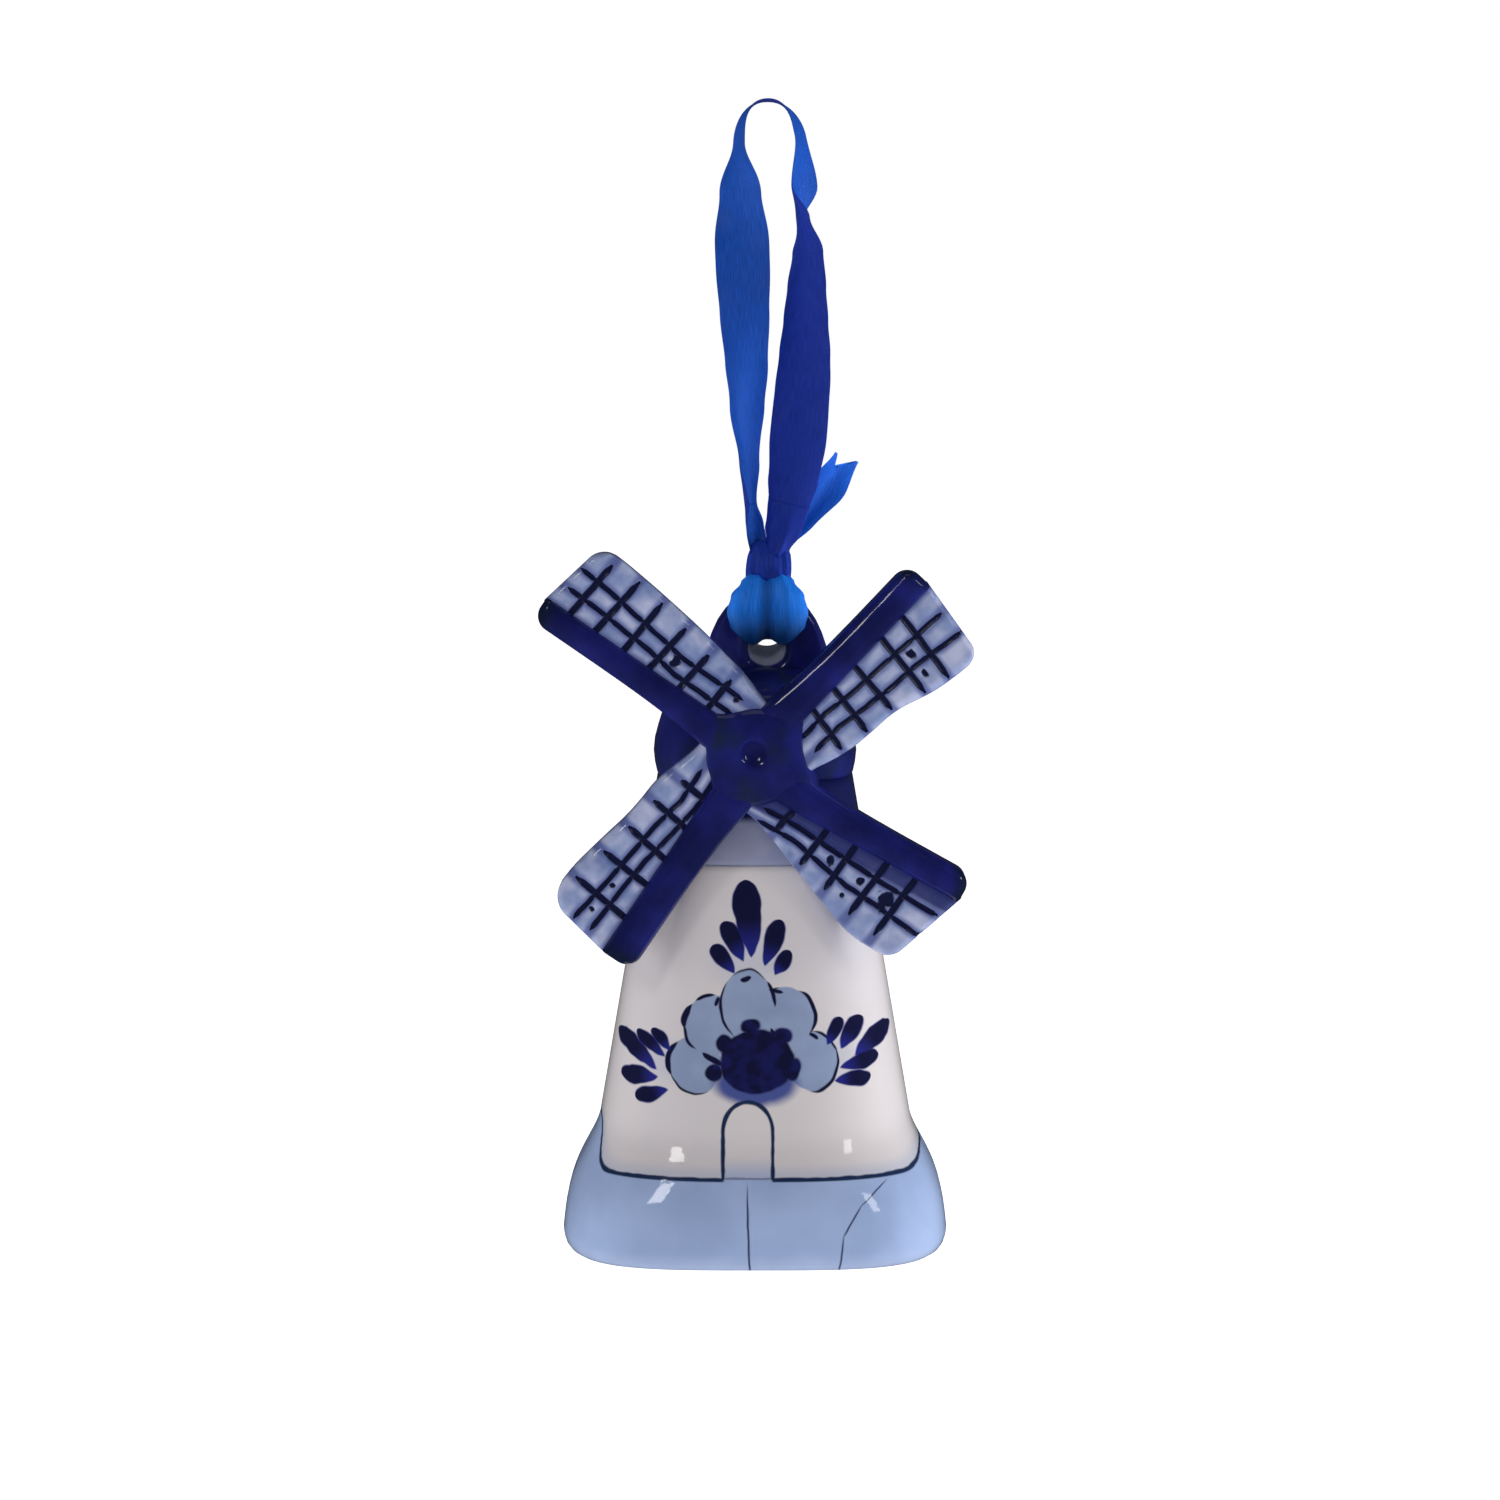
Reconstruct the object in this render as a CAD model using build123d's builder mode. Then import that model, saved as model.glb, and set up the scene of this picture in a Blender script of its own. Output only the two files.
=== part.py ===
from build123d import *
import math
import os

os.makedirs("parts", exist_ok=True)

# A windmill-shaped porcelain bell on a satin ribbon.
# Millimetres, +Z up. The origin is the hanging point, inside the top of the ribbon loop, and
# the hole in the lug is straight below it. The front, with the sails, faces -Y.
# Heights named *_height are measured up from the rim, so level() turns them into Z.

# Driving sizes of the porcelain
foot_width = 46.0          # across the flats of the foot, at its widest
foot_height = 2.2          # height of the widest line, above the rounded rim
rim_rounding = 0.8         # how far the rim's edge is drawn in
plinth_height = 10.6       # painted line between the foot and the tower, on the flare
skirt_height = 15.7        # top of the flare
waist_width = 37.2         # across the flats where the tower starts
batter = 0.171             # how far each tower wall leans in, per millimetre of height
tower_height = 46.4        # top of the white tower
collar_height = 56.0       # top of the tinted collar under the cap
cap_width = 24.0           # widest part of the mill cap
cap_bulge_height = 60.5    # height of that widest part
cap_height = 69.0          # top of the cap's dome
wall = 3.0                 # thickness of the cast shell
foot_corner = 0.6          # corner radius of the foot, per millimetre of half width
tower_corner = 0.8         # corner radius of the tower, per millimetre of half width

# Driving sizes of the lug
lug_offset = 1.4           # the lug stands this far to the right of the tower's axis
lug_width = 12.6
lug_top_width = 8.6
lug_thickness = 4.6
lug_height = 77.2
hole_height = 71.0
hole_radius = 2.1
hole_rounding = 0.7

# Driving sizes of the sails
hub_height = 59.5
hub_radius = 5.4
sail_back = 12.2           # depth of the sails' back plane, in front of the tower's axis
lattice_depth = 3.8        # thickness of a lattice panel
spar_rise = 0.9            # the spars stand this much proud of the panels
hub_rise = 1.2             # the hub stands this much proud of the panels
sail_corner = 1.2
sail_edge = 0.5

# Driving sizes of the clapper
bar_height = 50.0
bar_radius = 1.5
ring_radius = 3.2
ring_wire_radius = 0.5
eye_radius = 1.3
wire_radius = 0.45
bead_radius = 5.5
bead_height = 12.5
stop_radius = 1.2
running_gap = 0.06         # gap between two links that turn on each other
glue_gap = 0.05            # gap between the wire and the bead's bore

# Driving sizes of the ribbon
loop_drop = 64.0           # from the hanging point down to the centre of the hole
ribbon_radius = 1.0        # the limp ribbon, gathered to a round strand
strand_spread = 7.3        # centre to centre of the two strands below the top of the loop
neck_top_height = 88.4     # top of the gathered neck, where the strands part
neck_radius = 2.3
knot_radius = 2.5
swing_gap = 0.3            # free space round the knot
hitch_thickness = 1.1
hitch_gap = 0.1
tail_length = 12.5
tail_notch = 1.5
tail_rise = math.radians(60)
tail_width = 5.0
tail_thickness = 0.9

axis_x = -lug_offset
rim_level = -(loop_drop + hole_height)
knot_height = lug_height + hitch_gap + hitch_thickness + swing_gap + knot_radius
neck_height = knot_height + 0.8 * knot_radius
sail_face = sail_back + lattice_depth


def level(height):
    """Z of a height above the rim."""
    return rim_level + height


def skirt_half_width(height):
    """Half width of the foot and skirt: full at the foot, sweeping in to the tower's waist."""
    rise = max(0.0, height - foot_height) / (skirt_height - foot_height)
    sweep = 0.7 * 0.5 * (1 + math.cos(math.pi * rise ** 1.5)) + 0.3 * (1 - rise)
    return waist_width / 2 + (foot_width - waist_width) / 2 * sweep


def tower_half_width(height):
    return waist_width / 2 - batter * (height - skirt_height)


def corner_share(height):
    """The corners grow rounder from the foot up to the tower's waist."""
    rise = min(1.0, max(0.0, height / skirt_height))
    return foot_corner + (tower_corner - foot_corner) * rise


def section(height, half_width, half_depth, corner):
    """One rounded-square cross-section of the body, centred on the tower's axis."""
    with BuildSketch(Plane((axis_x, 0, level(height)))) as outline:
        RectangleRounded(2 * half_width, 2 * half_depth, corner)
    return outline.sketch


def skirt_sections(inset):
    sections = []
    steps = 5
    for step in range(steps + 1):
        height = foot_height + (skirt_height - foot_height) * step / steps
        half = skirt_half_width(height) - inset
        corner = skirt_half_width(height) * corner_share(height) - inset
        sections.append(section(height, half, half, corner))
    return sections


def foot_sections(inset):
    full = foot_width / 2 - inset
    corner = foot_width / 2 * corner_share(0) - inset
    drawn = full - (rim_rounding if inset == 0 else 0)
    top_corner = foot_width / 2 * corner_share(foot_height) - inset
    return [section(0, drawn, drawn, corner), section(foot_height, full, full, top_corner)]


def tower_sections(inset, bottom, top):
    sections = []
    for height in (bottom, top):
        half = tower_half_width(height) - inset
        corner = tower_half_width(height) * tower_corner - inset
        sections.append(section(height, half, half, corner))
    return sections


def cap_sections(inset):
    """The dome over the collar: widest at the bulge, closing to a narrow ridge at the top."""
    collar_half = tower_half_width(collar_height)
    rise = cap_height - cap_bulge_height
    stations = [
        (collar_height, collar_half, collar_half),
        (cap_bulge_height, cap_width / 2, cap_width / 2),
        (cap_bulge_height + 0.4 * rise, 0.92 * cap_width / 2, 0.86 * cap_width / 2),
        (cap_bulge_height + 0.75 * rise, 0.78 * cap_width / 2, 0.60 * cap_width / 2),
        (cap_height, 0.62 * cap_width / 2, 0.25 * cap_width / 2),
    ]
    sections = []
    for height, half, depth in stations:
        sections.append(section(height, half - inset, depth - inset, 0.8 * (depth - inset)))
    return sections


# The painted line where the foot ends and the tower starts, part of the way up the flare
seam = Plane.XY.offset(level(plinth_height))

# Foot and lower flare of the bell, open below
with BuildPart() as plinth:
    loft(foot_sections(0), ruled=True)
    loft(skirt_sections(0))
    loft(foot_sections(wall), ruled=True, mode=Mode.SUBTRACT)
    loft(skirt_sections(wall), mode=Mode.SUBTRACT)
    split(bisect_by=seam, keep=Keep.BOTTOM)

# White tower: the upper flare and the straight tapering wall above it
with BuildPart() as tower_wall:
    loft(skirt_sections(0))
    loft(tower_sections(0, skirt_height, tower_height), ruled=True)
    loft(skirt_sections(wall), mode=Mode.SUBTRACT)
    loft(tower_sections(wall, skirt_height, tower_height), ruled=True, mode=Mode.SUBTRACT)
    split(bisect_by=seam, keep=Keep.TOP)

# Tinted collar between the tower and the cap
with BuildPart() as cap_collar:
    loft(tower_sections(0, tower_height, collar_height), ruled=True)
    loft(tower_sections(wall, tower_height, collar_height), ruled=True, mode=Mode.SUBTRACT)

# Lug with its hanging hole, standing on the cap
lug_foot_height = cap_bulge_height
with BuildPart() as hanging_lug:
    with BuildSketch(Plane.XZ.offset(-lug_thickness / 2)):
        with BuildLine():
            Polyline(
                (-lug_width / 2, level(lug_foot_height)),
                (-lug_width / 2, level(hole_height)),
                (-lug_top_width / 2, level(lug_height)),
                (lug_top_width / 2, level(lug_height)),
                (lug_width / 2, level(hole_height)),
                (lug_width / 2, level(lug_foot_height)),
                close=True,
            )
        make_face()
    extrude(amount=lug_thickness)
    shoulders = hanging_lug.edges().filter_by(Axis.Y).filter_by_position(
        Axis.Z, level(lug_height) - 0.1, level(lug_height) + 0.1)
    fillet(shoulders, radius=2.4)
    with Locations(Plane.XZ.location * Location((0, level(hole_height), 0))):
        Hole(radius=hole_radius, depth=lug_thickness * 2)
    fillet(hanging_lug.edges().filter_by(GeomType.CIRCLE).filter_by(
        lambda edge: abs(edge.radius - hole_radius) < 0.01), radius=hole_rounding)

# Hollow dome of the mill cap, cut to the lug that stands in it
with BuildPart() as mill_cap:
    loft(cap_sections(0))
    loft(tower_sections(wall, collar_height, cap_bulge_height), ruled=True, mode=Mode.SUBTRACT)
    add(hanging_lug.part, mode=Mode.SUBTRACT)

# The whole outside of the body, used to seat the sails and the hub on it
with BuildPart() as body_outside:
    loft(tower_sections(0, skirt_height, collar_height), ruled=True)
    loft(cap_sections(0))

# Hub of the sails, a round boss on the front of the cap
hub_face = sail_face + hub_rise
with BuildPart() as hub_boss:
    with BuildSketch(Plane.XZ.offset(0)):
        with Locations((axis_x, level(hub_height))):
            Circle(hub_radius)
    extrude(amount=hub_face)
    fillet(hub_boss.faces().sort_by(Axis.Y)[0].edges(), radius=hub_rise)
    add(body_outside.part, mode=Mode.SUBTRACT)

# One arm of the sail cross: direction, spar length, how much shorter the panel's corner is, the two
# sides of the spar, and the panel's far side at its tip, its middle and its root
arms = {
    "upper_left": (144.2, 29.0, 1.5, -1.4, 1.4, 10.0, 9.3, 6.2),
    "upper_right": (46.6, 27.8, 2.0, -2.4, 0.9, 10.6, 8.4, 6.2),
    "lower_right": (330.9, 28.6, 2.8, 0.0, 3.0, 12.6, 9.6, 6.2),
    "lower_left": (235.5, 26.8, 1.5, -1.9, 1.9, 10.1, 8.4, 7.4),
}


def arm_plane(direction):
    """Plane facing forward at the sails' back, with x along the arm and y towards its panel."""
    turn = math.radians(direction)
    along = (math.cos(turn), 0, math.sin(turn))
    hub = (axis_x, -sail_back, level(hub_height))
    return Plane(origin=hub, x_dir=along, z_dir=(0, -1, 0))


def spar(direction, length, side_from, side_to):
    """The stock of one arm, from the hub out to the tip."""
    with BuildPart() as made:
        with BuildSketch(arm_plane(direction)):
            with BuildLine():
                Polyline((0, -side_to), (length, -side_to), (length, -side_from),
                         (0, -side_from), close=True)
            make_face()
        extrude(amount=lattice_depth + spar_rise)
        fillet(made.faces().sort_by(Axis.Y)[0].edges(), radius=sail_edge)
        with BuildSketch(arm_plane(direction)):
            Circle(hub_radius)
        extrude(amount=lattice_depth + spar_rise, mode=Mode.SUBTRACT)
        add(body_outside.part, mode=Mode.SUBTRACT)
    return made.part


def panel(direction, length, slant, side_to, tip, middle, root, spars):
    """The lattice panel beside one spar, cut to the spars, the hub and the tower behind it."""
    with BuildPart() as made:
        with BuildSketch(arm_plane(direction)) as outline:
            with BuildLine():
                Polyline((0, -side_to), (length, -side_to), (length - slant, -tip),
                         (0.42 * length, -middle), (0.1 * length, -root), close=True)
            make_face()
            outer = outline.vertices().sort_by_distance((length - slant, -tip))[0]
            fillet(outer, radius=sail_corner)
        extrude(amount=lattice_depth)
        with BuildSketch(arm_plane(direction)):
            Circle(hub_radius)
        extrude(amount=lattice_depth, mode=Mode.SUBTRACT)
        for other in spars:
            add(other, mode=Mode.SUBTRACT)
        add(body_outside.part, mode=Mode.SUBTRACT)
    return made.part


spars = {}
for name, (direction, length, slant, side_from, side_to, tip, middle, root) in arms.items():
    spars[name] = spar(direction, length, side_from, side_to)

panels = {}
for name, (direction, length, slant, side_from, side_to, tip, middle, root) in arms.items():
    panels[name] = panel(direction, length, slant, side_to, tip, middle, root, spars.values())


# Bar across the inside of the collar, which the clapper hangs from
with BuildPart() as clapper_bar:
    loft(tower_sections(wall, tower_height, collar_height), ruled=True)
    with BuildSketch(Plane.YZ.offset(axis_x - cap_width)):
        with Locations((0, level(bar_height))):
            Circle(bar_radius)
    extrude(amount=2 * cap_width, mode=Mode.INTERSECT)

# Wire ring threaded on the bar: its top rests on the bar, its bottom carries the clapper
ring_drop = ring_radius - ring_wire_radius - bar_radius - running_gap
ring_height = bar_height - ring_drop
with BuildPart() as clapper_ring:
    with BuildSketch(Plane((axis_x, 0, level(ring_height)))):
        with Locations((0, ring_radius)):
            Circle(ring_wire_radius)
    revolve(axis=Axis((axis_x, 0, level(ring_height)), (1, 0, 0)), revolution_arc=360)

# Clapper wire: an eye that hangs on the ring, a straight stem, and a bead held by a stop below
link_height = ring_height - ring_radius
eye_height = link_height - (eye_radius - wire_radius - ring_wire_radius - running_gap)
with BuildPart() as clapper_wire:
    with BuildSketch(Plane((axis_x, 0, level(eye_height)))):
        with Locations((eye_radius, 0)):
            Circle(wire_radius)
    revolve(axis=Axis((axis_x, 0, level(eye_height)), (0, 1, 0)), revolution_arc=360)
    with BuildSketch(Plane((axis_x, 0, level(bead_height - bead_radius)))):
        Circle(wire_radius)
    extrude(amount=eye_height - eye_radius - (bead_height - bead_radius))

with BuildPart() as clapper_bead:
    with Locations((axis_x, 0, level(bead_height))):
        Sphere(bead_radius)
    with BuildSketch(Plane((axis_x, 0, level(bead_height - bead_radius)))):
        Circle(wire_radius + glue_gap)
    extrude(amount=2 * bead_radius, mode=Mode.SUBTRACT)

stop_top = bead_height - math.sqrt(bead_radius ** 2 - (wire_radius + glue_gap) ** 2)
with BuildPart() as clapper_stop:
    with Locations((axis_x, 0, level(stop_top - stop_radius))):
        Sphere(stop_radius)
    with BuildSketch(Plane((axis_x, 0, level(bead_height - bead_radius)))):
        Circle(wire_radius)
    extrude(amount=stop_radius, mode=Mode.SUBTRACT)
    with Locations((axis_x, 0, level(bead_height))):
        Sphere(bead_radius, mode=Mode.SUBTRACT)

# Ribbon: both strands and the top of the loop, from the gathered neck up and back down.
# The hanging point is inside the top of the loop.
loop_half = strand_spread / 2
strand_foot = level(neck_top_height)
loop_height = -strand_foot
route = [
    (-ribbon_radius - 0.1, 0, strand_foot),
    (-0.30 * strand_spread, 0.5, 0.80 * strand_foot),
    (-0.38 * strand_spread, 0.9, 0.50 * strand_foot),
    (-0.44 * strand_spread, 0.4, 0.24 * strand_foot),
    (-loop_half, 0, ribbon_radius),
    (loop_half, 0, ribbon_radius),
    (0.62 * strand_spread, -0.5, 0.24 * strand_foot),
    (0.55 * strand_spread, -0.9, 0.50 * strand_foot),
    (0.42 * strand_spread, -0.4, 0.80 * strand_foot),
    (ribbon_radius + 0.1, 0, strand_foot),
]


def arc_radii(points):
    """For each corner, the largest arc that 0.45 of its shorter run leaves room for."""
    radii = []
    for before, corner, after in zip(points, points[1:], points[2:]):
        run_in = Vector(*corner) - Vector(*before)
        run_out = Vector(*after) - Vector(*corner)
        half_turn = math.radians(run_in.get_angle(run_out)) / 2
        radii.append(0.45 * min(run_in.length, run_out.length) / math.tan(half_turn))
    return radii


loop_radii = arc_radii(route)
with BuildPart() as ribbon_loop:
    with BuildLine() as loop_line:
        FilletPolyline(*route, radius=loop_radii)
    with BuildSketch(Plane(origin=loop_line.line @ 0, z_dir=loop_line.line % 0)):
        Circle(ribbon_radius)
    sweep()

# Gathered neck, where the two strands run into the knot
with BuildPart() as ribbon_neck:
    with BuildSketch(Plane.XY.offset(level(neck_height))):
        Circle(neck_radius)
    extrude(amount=neck_top_height - neck_height - swing_gap)
    with Locations((0, 0, level(knot_height))):
        Sphere(knot_radius + swing_gap, mode=Mode.SUBTRACT)

# Round knot above the lug, which the bell swings about
with BuildPart() as ribbon_knot:
    with Locations((0, 0, level(knot_height))):
        Sphere(knot_radius)

# Hitch: from the knot down the lug's front, through the hole and up its back
hitch_half = hole_radius - 0.35
hitch_width = lug_top_width - 1.0
hitch_top = knot_height - 0.2 * knot_radius
hitch_inner = lug_thickness / 2 + hitch_gap
hitch_outer = hitch_inner + hitch_thickness
with BuildPart() as ribbon_hitch:
    with BuildSketch(Plane.XZ.offset(-hitch_outer)):
        with BuildLine():
            Polyline(
                (-hitch_half, level(hole_height)),
                (-hitch_width / 2, level(lug_height - 1.5)),
                (-hitch_width / 2, level(lug_height + hitch_gap)),
                (-knot_radius, level(hitch_top)),
                (knot_radius, level(hitch_top)),
                (hitch_width / 2, level(lug_height + hitch_gap)),
                (hitch_width / 2, level(lug_height - 1.5)),
                (hitch_half, level(hole_height)),
                close=True,
            )
        make_face()
    extrude(amount=2 * hitch_outer)
    with BuildSketch(Plane.XZ.offset(-hitch_inner)):
        with BuildLine():
            Polyline(
                (-lug_width, level(hole_height - hole_radius)),
                (-lug_width, level(lug_height + hitch_gap)),
                (lug_width, level(lug_height + hitch_gap)),
                (lug_width, level(hole_height - hole_radius)),
                close=True,
            )
        make_face()
    extrude(amount=2 * hitch_inner, mode=Mode.SUBTRACT)
    with BuildSketch(Plane.XZ.offset(-hitch_outer)):
        with Locations((0, level(hole_height))):
            Circle(hitch_half)
    extrude(amount=2 * hitch_outer)
    with Locations((0, 0, level(knot_height))):
        Sphere(knot_radius + swing_gap, mode=Mode.SUBTRACT)

# Loose end of the ribbon, rising to the right out of the neck, with a notched end
tail_foot = (0.8 * neck_radius, tail_thickness / 2, level(neck_height + 0.6))
tail_along = (math.cos(tail_rise), 0, math.sin(tail_rise))
with BuildPart() as ribbon_tail:
    with BuildSketch(Plane(origin=tail_foot, x_dir=tail_along, z_dir=(0, -1, 0))):
        with BuildLine():
            Polyline(
                (0, -0.15 * tail_width),
                (0.35 * tail_length, -tail_width / 2),
                (tail_length, -tail_width / 2),
                (tail_length - tail_notch, 0),
                (tail_length, tail_width / 2),
                (0.6 * tail_length, 0.3 * tail_width),
                (0, 0.1 * tail_width),
                close=True,
            )
        make_face()
    extrude(amount=tail_thickness)
    add(ribbon_neck.part, mode=Mode.SUBTRACT)

pieces = {
    "plinth": plinth,
    "tower_wall": tower_wall,
    "cap_collar": cap_collar,
    "mill_cap": mill_cap,
    "hanging_lug": hanging_lug,
    "hub_boss": hub_boss,
    "clapper_bar": clapper_bar,
    "clapper_ring": clapper_ring,
    "clapper_wire": clapper_wire,
    "clapper_bead": clapper_bead,
    "clapper_stop": clapper_stop,
    "ribbon_loop": ribbon_loop,
    "ribbon_neck": ribbon_neck,
    "ribbon_knot": ribbon_knot,
    "ribbon_hitch": ribbon_hitch,
    "ribbon_tail": ribbon_tail,
}
for name, piece in pieces.items():
    piece.part.label = name
    export_step(piece.part, f"parts/{name}.step")
for name, piece in spars.items():
    piece.label = f"spar_{name}"
    export_step(piece, f"parts/spar_{name}.step")
for name, piece in panels.items():
    piece.label = f"lattice_{name}"
    export_step(piece, f"parts/lattice_{name}.step")

print("ribbon arcs, mm:", [round(radius, 1) for radius in loop_radii])
loop_length = sum(edge.length for edge in loop_line.line.edges())
print("ribbon length, mm:", round(loop_length, 1))
print("its volume over section times length:",
      round(ribbon_loop.part.volume / (math.pi * ribbon_radius ** 2 * loop_length), 3))
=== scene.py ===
import math

import bmesh
import bpy
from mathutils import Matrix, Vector, noise
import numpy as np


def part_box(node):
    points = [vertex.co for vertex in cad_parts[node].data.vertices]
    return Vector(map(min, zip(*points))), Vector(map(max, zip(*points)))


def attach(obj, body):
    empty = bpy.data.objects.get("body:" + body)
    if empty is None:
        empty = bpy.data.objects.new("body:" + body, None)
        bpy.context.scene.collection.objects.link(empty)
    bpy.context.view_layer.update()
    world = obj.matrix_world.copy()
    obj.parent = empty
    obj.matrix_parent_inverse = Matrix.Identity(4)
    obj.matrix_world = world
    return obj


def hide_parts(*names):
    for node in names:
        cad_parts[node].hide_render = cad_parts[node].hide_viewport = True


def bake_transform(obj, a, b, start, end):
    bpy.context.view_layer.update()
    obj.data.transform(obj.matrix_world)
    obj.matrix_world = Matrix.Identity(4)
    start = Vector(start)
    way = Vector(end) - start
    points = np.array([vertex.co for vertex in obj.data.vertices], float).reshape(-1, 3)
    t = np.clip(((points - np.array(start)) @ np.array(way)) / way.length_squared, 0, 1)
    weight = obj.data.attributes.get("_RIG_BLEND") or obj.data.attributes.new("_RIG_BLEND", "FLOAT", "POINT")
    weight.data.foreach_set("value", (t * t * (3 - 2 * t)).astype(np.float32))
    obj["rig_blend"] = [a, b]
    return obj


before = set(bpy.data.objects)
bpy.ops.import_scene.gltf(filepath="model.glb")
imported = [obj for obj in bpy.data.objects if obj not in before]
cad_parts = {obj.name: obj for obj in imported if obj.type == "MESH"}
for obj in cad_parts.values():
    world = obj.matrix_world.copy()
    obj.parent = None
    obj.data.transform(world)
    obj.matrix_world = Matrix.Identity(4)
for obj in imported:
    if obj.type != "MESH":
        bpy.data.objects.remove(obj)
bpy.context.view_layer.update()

# ---- Camera, light and floor --------------------------------------------------------------------
# A long lens looks a little down at the bell, which hangs from the origin. Soft lamps stand in front,
# above and at both sides, over a plain white floor. Heights are in millimetres above the bell's rim.
mm = 0.001
foot_low, foot_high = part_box("plinth")
rim = foot_low.z
axis_x = (foot_low.x + foot_high.x) / 2


def level(height):
    return rim + height * mm


def add_lamp(name, place, target, size, power, tint):
    lamp = bpy.data.lights.new(name, "AREA")
    lamp.shape = "RECTANGLE"
    lamp.size, lamp.size_y = size
    lamp.energy = power
    lamp.color = tint
    stand = bpy.data.objects.new(name, lamp)
    stand.location = place
    stand.rotation_euler = (Vector(target) - Vector(place)).to_track_quat("-Z", "Y").to_euler()
    bpy.context.scene.collection.objects.link(stand)
    return stand


aim = Vector((axis_x - 0.6 * mm, 0, level(58.8)))
camera_tilt = math.radians(5.5)
camera_distance = 0.5
camera_data = bpy.data.cameras.new("studio_camera")
camera_data.lens = 100
camera_data.sensor_width = 36
camera = bpy.data.objects.new("studio_camera", camera_data)
camera.location = aim + camera_distance * Vector((0, -math.cos(camera_tilt), math.sin(camera_tilt)))
camera.rotation_euler = (math.pi / 2 - camera_tilt, 0, 0)
bpy.context.scene.collection.objects.link(camera)
bpy.context.scene.camera = camera

bell_middle = Vector((axis_x, 0, level(45)))
add_lamp("lamp_left", bell_middle + Vector((-0.34, -0.42, 0.40)), bell_middle, (0.10, 0.14), 0.42,
         (1, 0.98, 0.96))
add_lamp("lamp_right", bell_middle + Vector((0.42, -0.30, 0.28)), bell_middle, (0.08, 0.16), 0.26,
         (0.98, 0.98, 1))
add_lamp("lamp_top", bell_middle + Vector((0, -0.05, 0.60)), bell_middle, (0.30, 0.30), 0.12, (1, 1, 1))
side_places = ((0.55, 0.08, 0.0, 3.2), (-0.55, 0.08, 0.0, 1.3))
for number, (x, y, z, power) in enumerate(side_places):
    side_lamp = add_lamp(f"lamp_side_{number}", bell_middle + Vector((x, y, z)), bell_middle, (0.35, 0.50),
                         power, (1, 1, 1))
    side_lamp.visible_glossy = False

world = bpy.data.worlds.new("studio")
world.use_nodes = True
sky = world.node_tree
path_kind = sky.nodes.new("ShaderNodeLightPath")
seen = sky.nodes.new("ShaderNodeBackground")
seen.inputs["Color"].default_value = (1, 1, 1, 1)
ambient = sky.nodes.new("ShaderNodeBackground")
ambient.inputs["Color"].default_value = (0.156, 0.146, 0.150, 1)
mirrored = sky.nodes.new("ShaderNodeBackground")
mirrored.inputs["Color"].default_value = (0.018, 0.020, 0.028, 1)
unseen = sky.nodes.new("ShaderNodeMixShader")
sky.links.new(path_kind.outputs["Is Glossy Ray"], unseen.inputs[0])
sky.links.new(ambient.outputs[0], unseen.inputs[1])
sky.links.new(mirrored.outputs[0], unseen.inputs[2])
chosen = sky.nodes.new("ShaderNodeMixShader")
sky.links.new(path_kind.outputs["Is Camera Ray"], chosen.inputs[0])
sky.links.new(unseen.outputs[0], chosen.inputs[1])
sky.links.new(seen.outputs[0], chosen.inputs[2])
sky.links.new(chosen.outputs[0], sky.nodes["World Output"].inputs["Surface"])
bpy.context.scene.world = world
bpy.context.scene.view_settings.view_transform = "Standard"

floor_mesh = bmesh.new()
bmesh.ops.create_grid(floor_mesh, x_segments=1, y_segments=1, size=3)
bmesh.ops.translate(floor_mesh, verts=floor_mesh.verts, vec=(0, 0, level(-45)))
floor_data = bpy.data.meshes.new("floor")
floor_mesh.to_mesh(floor_data)
floor_mesh.free()
floor = bpy.data.objects.new("floor", floor_data)
bpy.context.scene.collection.objects.link(floor)
floor_finish = bpy.data.materials.new("white_floor")
floor_finish.use_nodes = True
floor_shader = floor_finish.node_tree.nodes["Principled BSDF"]
floor_shader.inputs["Base Color"].default_value = (0.9, 0.9, 0.9, 1)
floor_shader.inputs["Emission Color"].default_value = (1, 1, 1, 1)
floor_tree = floor_finish.node_tree
seen_directly = floor_tree.nodes.new("ShaderNodeLightPath")
floor_glow = floor_tree.nodes.new("ShaderNodeMapRange")
floor_glow.inputs["To Min"].default_value = 0.70
floor_glow.inputs["To Max"].default_value = 1.0
floor_tree.links.new(seen_directly.outputs["Is Camera Ray"], floor_glow.inputs["Value"])
floor_tree.links.new(floor_glow.outputs["Result"], floor_shader.inputs["Emission Strength"])
floor_shader.inputs["Roughness"].default_value = 0.9
floor_data.materials.append(floor_finish)
floor.visible_glossy = False


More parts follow.
